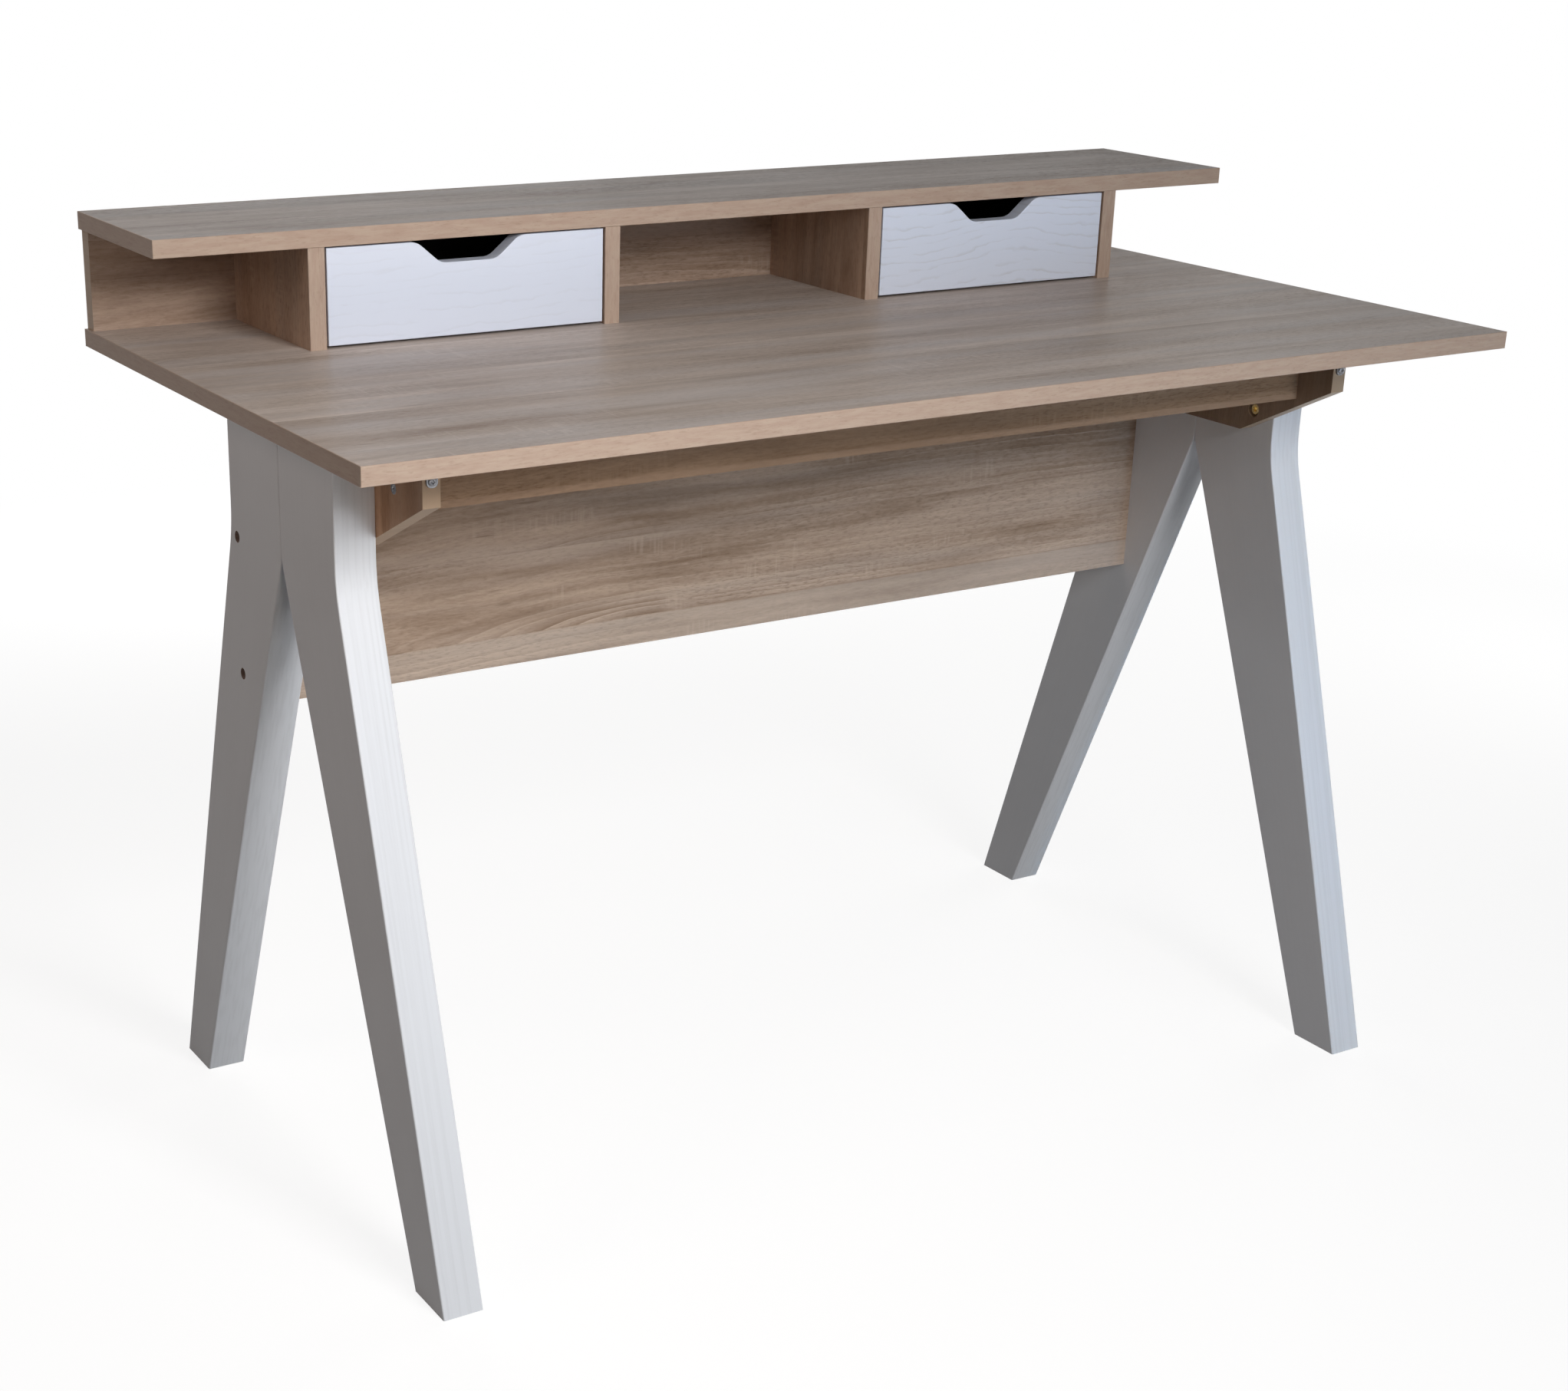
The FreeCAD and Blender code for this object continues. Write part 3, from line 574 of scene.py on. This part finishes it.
edgeBand = {
    "pale": colour(0.499, 0.382, 0.303),
    "pink": colour(0.449, 0.325, 0.254),
    "streak": colour(0.325, 0.223, 0.166),
    "cloud": ((34.0, 260.0, 260.0), 3.0, 4.0, 0.65),
    "cloudStep": (0.3, 0.7),
    "fine": ((150.0, 900.0, 900.0), 5.0, 3.0),
    "fineStep": (0.54, 0.76),
    "streakShare": 0.42,
    "roughness": (0.42, 0.12),
    "relief": (0.0001, 0.3),
    "specular": 0.1,
    "runs": {                           # turns that lay the streaks along X, Y or Z
        "lengthwise": (0, 0, 0),
        "depthwise": (0, 0, math.pi / 2),
        "upright": (0, math.pi / 2, 0),
    },
}


def makeEdgeBand(name, turn):
    material, tree, shader = newMaterial("edge_band_" + name)
    place = put(tree, "TexCoord").outputs["Object"]
    grain = put(tree, "Mapping", {"Vector": place, "Rotation": turn}).outputs[0]
    cloud = stepOf(tree, noiseOf(tree, grain, *edgeBand["cloud"]), *edgeBand["cloudStep"])
    fine = noiseOf(tree, grain, *edgeBand["fine"])
    wood = mixOf(tree, cloud, edgeBand["pink"], edgeBand["pale"])
    streak = mathOf(tree, "MULTIPLY", stepOf(tree, fine, *edgeBand["fineStep"]), edgeBand["streakShare"])
    wood = mixOf(tree, streak, wood, edgeBand["streak"])
    patch = useGroup(tree, smudge, {"Vector": place})["Patch"]
    join(tree, shader, colour=wood)
    join(tree, shader, roughness=swingOf(tree, patch, *edgeBand["roughness"]))
    join(tree, shader, normal=bumpOf(tree, fine, *edgeBand["relief"]))
    fix(shader, specular=edgeBand["specular"])
    return material


bandMaterials = [makeEdgeBand(name, turn) for name, turn in edgeBand["runs"].items()]
for nodeName in nodes:
    if nodeName.endswith("edge_band"):
        low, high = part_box(nodeName)
        size = high - low
        longest = max(range(3), key=lambda axis: size[axis])
        dress(bandMaterials[longest], nodeName)
print("edge bands dressed")

# Legs: matte white paint over open grain that follows the slant of each leg

legs = {
    "paint": colour(0.808, 0.826, 0.862),
    "groove": colour(0.560, 0.565, 0.585),
    "holeWall": colour(0.400, 0.300, 0.260),                 # dark brown for the walls of the bolt holes
    "pitch": 0.0028,                    # between the lines of its grain
    "shade": (0.32, 0.02),              # of a line: with the cloudy noise, and at least
    "sideShare": 0.2,                   # how much of the grain shows on the flat sides
    "sideStep": (0.5, 0.8),
    "slant": 0.305,                     # how far the lower leg leans out for each metre down
    "bend": 0.600,                      # height where it starts to lean
    "holeRoom": 0.0003,                 # of a hole's radius, more than the bolt's head
    "holeSoft": 0.0002,
    "roughness": (0.48, 0.16),
    "relief": (0.00012, 0.22),
    "specular": 0.25,
}
boltsLow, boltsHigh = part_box("panel_bolts")
boltRadius = (boltsHigh[1] - boltsLow[1]) / 2
boltHeights = (boltsLow[2] + boltRadius, boltsHigh[2] - boltRadius)


def makeLegPaint(name, lean):
    material, tree, shader = newMaterial(name + "_white")
    coords = put(tree, "TexCoord").outputs
    place = coords["Object"]
    parts = put(tree, "SeparateXYZ", {0: place}).outputs
    below = mathOf(tree, "MAXIMUM", mathOf(tree, "SUBTRACT", legs["bend"], parts[2]), 0.0)
    straight = mathOf(tree, "MULTIPLY_ADD", below, -lean * legs["slant"], parts[1])
    grain = put(tree, "CombineXYZ", {0: parts[2], 1: straight, 2: parts[0]}).outputs[0]
    lines = useGroup(tree, openGrain, {"Vector": grain, "Pitch": legs["pitch"]})
    patch = useGroup(tree, smudge, {"Vector": place})["Patch"]
    facing = mathOf(tree, "ABSOLUTE", put(tree, "SeparateXYZ", {0: coords["Normal"]}).outputs[0])
    sides = stepOf(tree, facing, *legs["sideStep"])
    visible = mathOf(tree, "MULTIPLY_ADD", sides, legs["sideShare"] - 1.0, 1.0)
    groove = mathOf(tree, "MULTIPLY", lines["Groove"], visible)
    shade = mathOf(tree, "MULTIPLY", groove, mathOf(tree, "MULTIPLY_ADD", lines["Cloud"], *legs["shade"]))
    paint = mixOf(tree, shade, legs["paint"], legs["groove"])
    rim = boltRadius + legs["holeRoom"]
    for height in boltHeights:
        axis = put(tree, "CombineXYZ", {0: parts[0], 1: boltsLow[1] + boltRadius, 2: height}).outputs[0]
        away = put(tree, "VectorMath", {0: place, 1: axis}, operation="DISTANCE").outputs["Value"]
        paint = mixOf(tree, dropOf(tree, away, rim, rim + legs["holeSoft"]), paint, legs["holeWall"])
    join(tree, shader, colour=paint)
    join(tree, shader, roughness=swingOf(tree, patch, *legs["roughness"]))
    join(tree, shader, normal=bumpOf(tree, mathOf(tree, "SUBTRACT", 1.0, groove), *legs["relief"]))
    fix(shader, specular=legs["specular"])
    dress(material, name)


for side in ("left", "right"):
    makeLegPaint(side + "_front_leg", -1.0)
    makeLegPaint(side + "_back_leg", 1.0)
print("legs painted")

# Drawer fronts: white board with a faint wavy grain

drawerWhite = {
    "white": colour(0.720, 0.768, 0.885),
    "line": colour(0.480, 0.480, 0.500),
    "roughness": (0.40, 0.12),
    "relief": (0.0002, 0.5),
    "fronts": {                         # strength of the lines, and what shapes them
        "left_drawer_front": (0.14, {"Pitch": 0.010, "Bulge": 0.010, "Middle": -0.18, "Seed": 1.3}),
        "right_drawer_front": (0.42, {"Pitch": 0.0095, "Bulge": 0.022, "Middle": 0.33, "Seed": 2.9}),
    },
}


def makeDrawerFront(name, strength, shape):
    material, tree, shader = newMaterial(name + "_white")
    place = put(tree, "TexCoord").outputs["Object"]
    grain = put(tree, "Mapping", {"Vector": place, "Rotation": grainTurns["upright"]}).outputs[0]
    line = useGroup(tree, wavyLines, {"Vector": grain, **shape})["Line"]
    patch = useGroup(tree, smudge, {"Vector": place})["Patch"]
    shade = mathOf(tree, "MULTIPLY", line, strength)
    join(tree, shader, colour=mixOf(tree, shade, drawerWhite["white"], drawerWhite["line"]))
    join(tree, shader, roughness=swingOf(tree, patch, *drawerWhite["roughness"]))
    join(tree, shader, normal=bumpOf(tree, mathOf(tree, "MULTIPLY", line, -strength), *drawerWhite["relief"]))
    dress(material, name)


for frontName, (strength, shape) in drawerWhite["fronts"].items():
    makeDrawerFront(frontName, strength, shape)

# Drawer boxes: black board, and a thin black bottom

drawerBlack = {
    "board": colour(0.020, 0.020, 0.022),
    "worn": colour(0.045, 0.044, 0.045),
    "wornStep": (0.45, 0.75),
    "peel": ((700.0, 700.0, 700.0), 1.0),
    "boardRoughness": (0.52, 0.2),
    "bottom": colour(0.026, 0.024, 0.023),
    "fleck": colour(0.050, 0.044, 0.040),
    "flecks": ((260.0, 260.0, 260.0), 4.0, 4.0),
    "fleckStep": (0.52, 0.66),
    "bottomRoughness": (0.675, 0.15),
    "relief": (0.0001, 0.3),
}


def makeBlackBoard():
    material, tree, shader = newMaterial("drawer_black_board")
    place = put(tree, "TexCoord").outputs["Object"]
    peel = noiseOf(tree, place, *drawerBlack["peel"])
    patch = useGroup(tree, smudge, {"Vector": place})["Patch"]
    worn = stepOf(tree, patch, *drawerBlack["wornStep"])
    join(tree, shader, colour=mixOf(tree, worn, drawerBlack["board"], drawerBlack["worn"]))
    join(tree, shader, roughness=swingOf(tree, patch, *drawerBlack["boardRoughness"]))
    join(tree, shader, normal=bumpOf(tree, peel, *drawerBlack["relief"]))
    return material


def makeBlackHardboard():
    material, tree, shader = newMaterial("drawer_black_hardboard")
    place = put(tree, "TexCoord").outputs["Object"]
    flecks = stepOf(tree, noiseOf(tree, place, *drawerBlack["flecks"]), *drawerBlack["fleckStep"])
    join(tree, shader, colour=mixOf(tree, flecks, drawerBlack["bottom"], drawerBlack["fleck"]))
    join(tree, shader, roughness=swingOf(tree, flecks, *drawerBlack["bottomRoughness"]))
    join(tree, shader, normal=bumpOf(tree, flecks, *drawerBlack["relief"]))
    return material


blackBoard = makeBlackBoard()
blackHardboard = makeBlackHardboard()
for side in ("left", "right"):
    dress(blackBoard, *(f"{side}_drawer_{piece}" for piece in ("left_side", "right_side", "back")))
    dress(blackHardboard, f"{side}_drawer_bottom")
print("drawers dressed")

# Fasteners: beech dowels and plated steel

metals = {
    # zinc is much darker than bare plated steel: painted shade, which dims its reflections to those of the
    # shade under the desk
    "zinc": {
        "pale": colour(0.25, 0.25, 0.26), "dull": colour(0.15, 0.15, 0.16), "roughness": (0.50, 0.2),
    },
    "yellow": {
        "pale": colour(0.76, 0.60, 0.30), "dull": colour(0.55, 0.42, 0.20), "roughness": (0.28, 0.2),
    },
    "black": {
        "pale": colour(0.030, 0.029, 0.030), "dull": colour(0.015, 0.015, 0.016), "roughness": (0.40, 0.2),
    },
}
spangles = {
    "noise": ((420.0, 420.0, 420.0), 2.0, 4.0, 0.6),
    "step": (0.35, 0.65),
    "relief": (0.00005, 0.3),
}
beech = {
    "pale": colour(0.70, 0.53, 0.36),
    "dark": colour(0.50, 0.34, 0.21),
    "flecks": ((500.0, 500.0, 60.0), 1.0, 3.0),
    "fleckStep": (0.35, 0.68),
    "roughness": (0.6, 0.2),
    "relief": (0.0001, 0.3),
}


def makePlating(name, metal):
    material, tree, shader = newMaterial(name + "_plated_steel")
    place = put(tree, "TexCoord").outputs["Object"]
    spangle = noiseOf(tree, place, *spangles["noise"])
    bright = stepOf(tree, spangle, *spangles["step"])
    join(tree, shader, colour=mixOf(tree, bright, metal["dull"], metal["pale"]))
    join(tree, shader, roughness=swingOf(tree, spangle, *metal["roughness"]))
    join(tree, shader, normal=bumpOf(tree, spangle, *spangles["relief"]))
    fix(shader, metallic=1.0)
    return material


def makeBeech():
    material, tree, shader = newMaterial("beech")
    place = put(tree, "TexCoord").outputs["Object"]
    flecks = noiseOf(tree, place, *beech["flecks"])
    darker = stepOf(tree, flecks, *beech["fleckStep"])
    join(tree, shader, colour=mixOf(tree, darker, beech["pale"], beech["dark"]))
    join(tree, shader, roughness=swingOf(tree, flecks, *beech["roughness"]))
    join(tree, shader, normal=bumpOf(tree, flecks, *beech["relief"]))
    return material


plating = {name: makePlating(name, metal) for name, metal in metals.items()}
dress(plating["zinc"], "hutch_screws", "rail_screws", "desktop_angles", "angle_screws")
dress(plating["zinc"], "left_drawer_screws", "right_drawer_screws")
dress(plating["yellow"], "bracket_bolts", "leg_threaded_sleeves", "panel_cross_nuts")
dress(plating["black"], "panel_bolts")
beechMaterial = makeBeech()
dress(beechMaterial, *(nodeName for nodeName in nodes if nodeName.endswith("dowels")))
print("fasteners dressed")

# Screws and dowels, made as grids: rows run down the profile, columns go round the axis

fasteners = {
    "columns": 32,
    "headRows": 14,
    "topStart": 0.05,                   # shares of the head's radius
    "recessReach": 0.56,
    "recessArm": 0.13,
    "recessDepth": 0.30,
    "armSoft": (0.7, 1.3),              # shares of the arm's half width, and of the reach
    "reachSoft": 0.6,
    "domeBend": 0.96,
    "flatRim": 0.0003,
    "domeFoot": 0.95,                   # shares of the head's height, and of the core's radius
    "coneFoot": 0.92,
    "coneNeck": 1.15,
    "pitch": 0.42,                      # of a thread, as a share of the shank's diameter
    "rowsPerTurn": 6,
    "threadDepth": 0.30,                # shares of the shank's radius
    "tip": 1.6,
    "tipRows": 5,
    "tipEnd": 0.94,                     # of the way to a sharp point
    "ridge": 0.3,                       # shares of a pitch
    "runIn": 2,
    "smoothAngle": 40,
    "flutes": 22,
    "fluteColumns": 4,
    "fluteDepth": 0.0004,
    "chamfer": 0.001,
    "screws": {                         # height of the head, and how far its top is domed
        "hutch_screws": (0.0040, 0.0),
        "rail_screws": (0.0040, 0.0),
        "left_drawer_screws": (0.0025, 0.0),
        "right_drawer_screws": (0.0025, 0.0),
        "angle_screws": (0.0018, 0.0011),
    },
}


def ease(value, low, high):
    share = np.clip((value - low) / (high - low), 0, 1)
    return share * share * (3 - 2 * share)


def solidsOf(name):
    # the separate solids of a CAD node as arrays of points: each point takes the lowest label
    # found in the triangles that it belongs to, until nothing changes
    mesh = nodes[name].data
    points = np.empty(len(mesh.vertices) * 3)
    mesh.vertices.foreach_get("co", points)
    points, same = np.unique(points.reshape(-1, 3).round(6), axis=0, return_inverse=True)
    corners = np.empty(len(mesh.loops), dtype=int)
    mesh.loops.foreach_get("vertex_index", corners)
    triangles = same.ravel()[corners].reshape(-1, 3)
    label = np.arange(len(points))
    while True:
        least = label.copy()
        np.minimum.at(least, triangles.ravel(), np.repeat(label[triangles].min(axis=1), 3))
        if (least == label).all():
            return [points[label == one] for one in np.unique(label)]
        label = least


def measure(points):
    # a fastener's wider end, its axes from there on, its length, and its radius at both ends
    low, high = points.min(axis=0), points.max(axis=0)
    axis = int(np.argmax(high - low))
    middle = (low + high) / 2
    aside = np.linalg.norm(np.delete(points - middle, axis, axis=1), axis=1)
    halfway = points[:, axis] > middle[axis]
    wideAtTop = aside[halfway].max() > aside[~halfway].max()
    sign = -1.0 if wideAtTop else 1.0
    start = middle.copy()
    start[axis] = high[axis] if wideAtTop else low[axis]
    axes = np.roll(np.eye(3), -axis, axis=0)[[1, 2, 0]]        # two sideways, then along
    axes = axes * np.array([[1.0], [sign], [sign]])
    far = halfway if not wideAtTop else ~halfway
    return start, axes, high[axis] - low[axis], aside.max(), aside[far].max()


def screwGrid(turn, length, headRadius, shankRadius, headHeight, dome):
    # Rows: the head's top from its middle to its rim, its side, the threaded shank and the tip.
    # Recess: a cross, deepest in the middle. Thread: a ridge that climbs one pitch in each turn.
    topRadius = headRadius * np.linspace(fasteners["topStart"], 1.0, fasteners["headRows"])[:, None]
    topHeight = dome * (1 - np.sqrt(1 - fasteners["domeBend"] * (topRadius / headRadius) ** 2))
    across = np.minimum(abs(topRadius * np.cos(turn)), abs(topRadius * np.sin(turn)))
    armHalf = fasteners["recessArm"] * headRadius
    armStart, armEnd = fasteners["armSoft"]
    arm = 1 - ease(across, armHalf * armStart, armHalf * armEnd)
    recessEnd = fasteners["recessReach"] * headRadius
    reach = 1 - ease(topRadius, recessEnd * fasteners["reachSoft"], recessEnd)
    recessDepth = fasteners["recessDepth"] * headRadius
    topHeight = topHeight + recessDepth * arm * reach

    core = shankRadius * (1 - fasteners["threadDepth"])
    pitch = fasteners["pitch"] * 2 * shankRadius
    tipStart = length - fasteners["tip"] * shankRadius
    rows = int((tipStart - headHeight) / pitch * fasteners["rowsPerTurn"])
    shankHeight = np.linspace(headHeight, tipStart, rows)[:, None]
    winding = (shankHeight / pitch - turn / (2 * np.pi)) % 1.0
    ridge = np.clip(1 - abs(winding - 0.5) / fasteners["ridge"], 0, 1)
    running = ease(shankHeight, headHeight, headHeight + fasteners["runIn"] * pitch)
    shank = core + (shankRadius - core) * ridge * running
    taper = np.linspace(0.0, fasteners["tipEnd"], fasteners["tipRows"] + 1)[1:, None]
    tip = core * (1 - taper)
    tipHeight = tipStart + taper * (length - tipStart)

    flat = np.ones_like(turn)
    if dome:
        side = np.array([(headRadius, dome), (headRadius, headHeight * fasteners["domeFoot"])])
    else:
        neck = (core * fasteners["coneNeck"], headHeight * fasteners["coneFoot"])
        side = np.array([(headRadius, fasteners["flatRim"]), neck])
    radius = np.vstack([topRadius * flat, side[:, :1] * flat, shank, tip * flat])
    height = np.vstack([topHeight, side[:, 1:] * flat, shankHeight * flat, tipHeight * flat])
    return radius, height, recessDepth, length


def dowelGrid(turn, length, radius):
    # Rows: a chamfer, the fluted body and a chamfer. Flutes: shallow round grooves along the dowel.
    grooves = fasteners["fluteDepth"] * (0.5 + 0.5 * np.cos(fasteners["flutes"] * turn)) ** 2
    chamfer = fasteners["chamfer"]
    body = radius - grooves
    end = np.full_like(turn, radius - chamfer)
    heights = np.array([[0.0], [chamfer], [length - chamfer], [length]])
    return np.vstack([end, body, body, end]), heights * np.ones_like(turn), 0.0, length


def makeRound(name, node, grid, columns, material):
    # one mesh for all the solids of a node; each end of the grid is closed by a fan round one point
    turn = np.linspace(0, 2 * np.pi, columns, endpoint=False)
    found = [measure(points) for points in solidsOf(node)]
    radius, height, first, last = grid(turn, *found[0][2:])
    rows = len(radius)
    local = np.stack([radius * np.cos(turn), radius * np.sin(turn), height], axis=-1).reshape(-1, 3)
    local = np.vstack([local, [(0, 0, first), (0, 0, last)]])
    points = np.vstack([start + local @ axes for start, axes, *_ in found])
    here = np.arange(columns)
    beside = (here + 1) % columns
    row = np.arange(rows - 1)[:, None] * columns
    below = row + columns
    quads = np.stack([row + here, row + beside, below + beside, below + here], axis=-1).reshape(-1, 4)
    foot = (rows - 1) * columns
    top = np.stack([np.full(columns, rows * columns), beside, here], axis=-1)
    bottom = np.stack([np.full(columns, rows * columns + 1), foot + here, foot + beside], axis=-1)
    faces = []
    for count in range(len(found)):
        for part in (quads, top, bottom):
            faces += (part + count * len(local)).tolist()
    mesh = bpy.data.meshes.new(name)
    mesh.from_pydata(points.tolist(), [], faces)
    mesh.shade_smooth()
    mesh.set_sharp_from_angle(angle=math.radians(fasteners["smoothAngle"]))
    mesh.materials.append(material)
    piece = bpy.data.objects.new(name, mesh)
    scene.collection.objects.link(piece)
    bodies = frame["record"]["behaviour"]["bodies"]
    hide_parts(node)
    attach(piece, next(body for body, members in bodies.items() if node in members))


for nodeName, (headHeight, dome) in fasteners["screws"].items():
    makeRound(
        nodeName + "_threaded", nodeName,
        lambda turn, length, head, shank: screwGrid(turn, length, head, shank, headHeight, dome),
        fasteners["columns"], plating["zinc"],
    )
for nodeName in [name for name in nodes if name.endswith("dowels")]:
    makeRound(
        nodeName + "_fluted", nodeName, lambda turn, length, head, shank: dowelGrid(turn, length, head),
        fasteners["fluteColumns"] * fasteners["flutes"], beechMaterial,
    )
print("screws threaded and dowels fluted")

# Studio: a soft key light and a low one in front, weak fills round them, two lamps for the far sides,
# and a pale floor that fades to white

studio = {
    "lamps": {                          # place, aim, size, watts, spread in degrees, colour
        "key": ((-0.10, -2.50, 1.90), (-0.75, 0.0, 0.6), (1.0, 0.8), 13.1, 85, (1.0, 1.0, 1.0)),
        "high": ((-0.40, -2.00, 2.40), (-0.3, 0.0, 0.6), (0.9, 0.7), 2.2, 180, (0.80, 0.90, 1.0)),
        "top": ((-0.80, -0.60, 2.20), (-0.6, -0.1, 0.7), (0.8, 0.8), 0.42, 70, (1.0, 1.0, 1.0)),
        "low": ((0.90, -2.50, 0.50), (0.0, 0.0, 0.6), (0.9, 0.7), 10.8, 180, (0.96, 0.98, 1.0)),
        "right": ((0.60, -2.60, 0.40), (0.52, -0.20, 0.35), (0.12, 0.6), 0.42, 40, (0.35, 0.65, 1.0)),
        "left": ((-2.40, -0.20, 1.70), (-0.5, 0.0, 0.75), (1.2, 1.0), 2.3, 110, (1.0, 0.82, 0.71)),
        "leftLow": ((-2.40, -0.60, 0.90), (-0.5, 0.0, 0.6), (1.2, 1.0), 0.45, 110, (1.0, 0.86, 0.80)),
        "under": ((0.00, -1.60, 0.15), (0.0, 0.0, 0.6), (1.2, 0.2), 1.15, 160, (0.86, 0.92, 1.0)),
        "corner": ((-0.90, -2.40, 0.35), (-0.50, -0.10, 0.70), (0.4, 0.3), 0.10, 25, (1.0, 0.88, 0.76)),
        "behind": ((0.50, 2.60, 0.55), (0.0, 0.0, 0.6), (1.4, 0.8), 26.0, 180, (1.0, 1.0, 1.0)),
        "beside": ((2.40, 0.60, 0.45), (0.5, 0.0, 0.45), (1.2, 0.5), 7.0, 120, (1.0, 1.0, 1.0)),
    },
    "around": colour(1.0, 0.92, 0.84),
    "aroundStrength": 0.01,
    "white": colour(1.0, 1.0, 1.0),
    "floor": colour(0.24, 0.237, 0.234),
    "mottle": colour(0.5, 0.5, 0.5),
    "mottleNoise": ((2.0, 2.0, 2.0), 0.0, 3.0),
    "mottleShare": 0.04,
    "floorSize": 30.0,
    "floorLift": 0.85,                  # brightness that the camera sees on top of the lit floor
    "fade": (1.2, 2.6),                 # metres from the desk's middle
}


def makeLamp(name, place, aim, size, watts, spread, tint):
    lamp = bpy.data.lights.new(name, "AREA")
    lamp.shape = "RECTANGLE"
    lamp.size, lamp.size_y = size
    lamp.energy = watts
    lamp.spread = math.radians(spread)
    lamp.color = tint
    panel = bpy.data.objects.new(name, lamp)
    towards = Vector(aim) - Vector(place)
    panel.matrix_world = Matrix.Translation(place) @ towards.to_track_quat("-Z", "Y").to_matrix().to_4x4()
    scene.collection.objects.link(panel)


def seenRay(tree):
    # 1 for rays from the camera, in a mirror or through glass
    path = put(tree, "LightPath").outputs
    seen = mathOf(tree, "MAXIMUM", path["Is Camera Ray"], path["Is Glossy Ray"])
    return mathOf(tree, "MAXIMUM", seen, path["Is Transmission Ray"])


def makeSurroundings():
    world = bpy.data.worlds.new("studio")
    world.use_nodes = True
    tree = world.node_tree
    tree.nodes.clear()
    soft = put(tree, "Background", {"Color": studio["around"], "Strength": studio["aroundStrength"]})
    white = put(tree, "Background", {"Color": studio["white"], "Strength": 1.0})
    both = put(tree, "MixShader", {0: seenRay(tree), 1: soft.outputs[0], 2: white.outputs[0]})
    put(tree, "OutputWorld", {"Surface": both.outputs[0]})
    scene.world = world


def makeFloor():
    material = bpy.data.materials.new("studio_floor")
    material.use_nodes = True
    tree = material.node_tree
    tree.nodes.clear()
    place = put(tree, "TexCoord").outputs["Object"]
    away = put(tree, "VectorMath", {0: place}, operation="LENGTH").outputs["Value"]
    mottle = mathOf(tree, "MULTIPLY", noiseOf(tree, place, *studio["mottleNoise"]), studio["mottleShare"])
    paint = mixOf(tree, mottle, studio["floor"], studio["mottle"])
    lit = put(tree, "BsdfDiffuse", {"Color": paint}).outputs[0]
    lift = put(tree, "Emission", {"Color": studio["white"], "Strength": studio["floorLift"]}).outputs[0]
    lifted = put(tree, "AddShader", {0: lit, 1: lift}).outputs[0]
    white = put(tree, "Emission", {"Color": studio["white"], "Strength": 1.0}).outputs[0]
    seen = put(tree, "MixShader", {0: stepOf(tree, away, *studio["fade"]), 1: lifted, 2: white}).outputs[0]
    final = put(tree, "MixShader", {0: seenRay(tree), 1: lit, 2: seen}).outputs[0]
    put(tree, "OutputMaterial", {"Surface": final})
    half = studio["floorSize"] / 2
    corners = [(-half, -half, 0), (half, -half, 0), (half, half, 0), (-half, half, 0)]
    mesh = bpy.data.meshes.new("studio_floor")
    mesh.from_pydata(corners, [], [(0, 1, 2, 3)])
    mesh.materials.append(material)
    floor = bpy.data.objects.new("studio_floor", mesh)
    scene.collection.objects.link(floor)


for lampName, lampSettings in studio["lamps"].items():
    makeLamp(lampName, *lampSettings)
makeSurroundings()
makeFloor()
print("studio set")
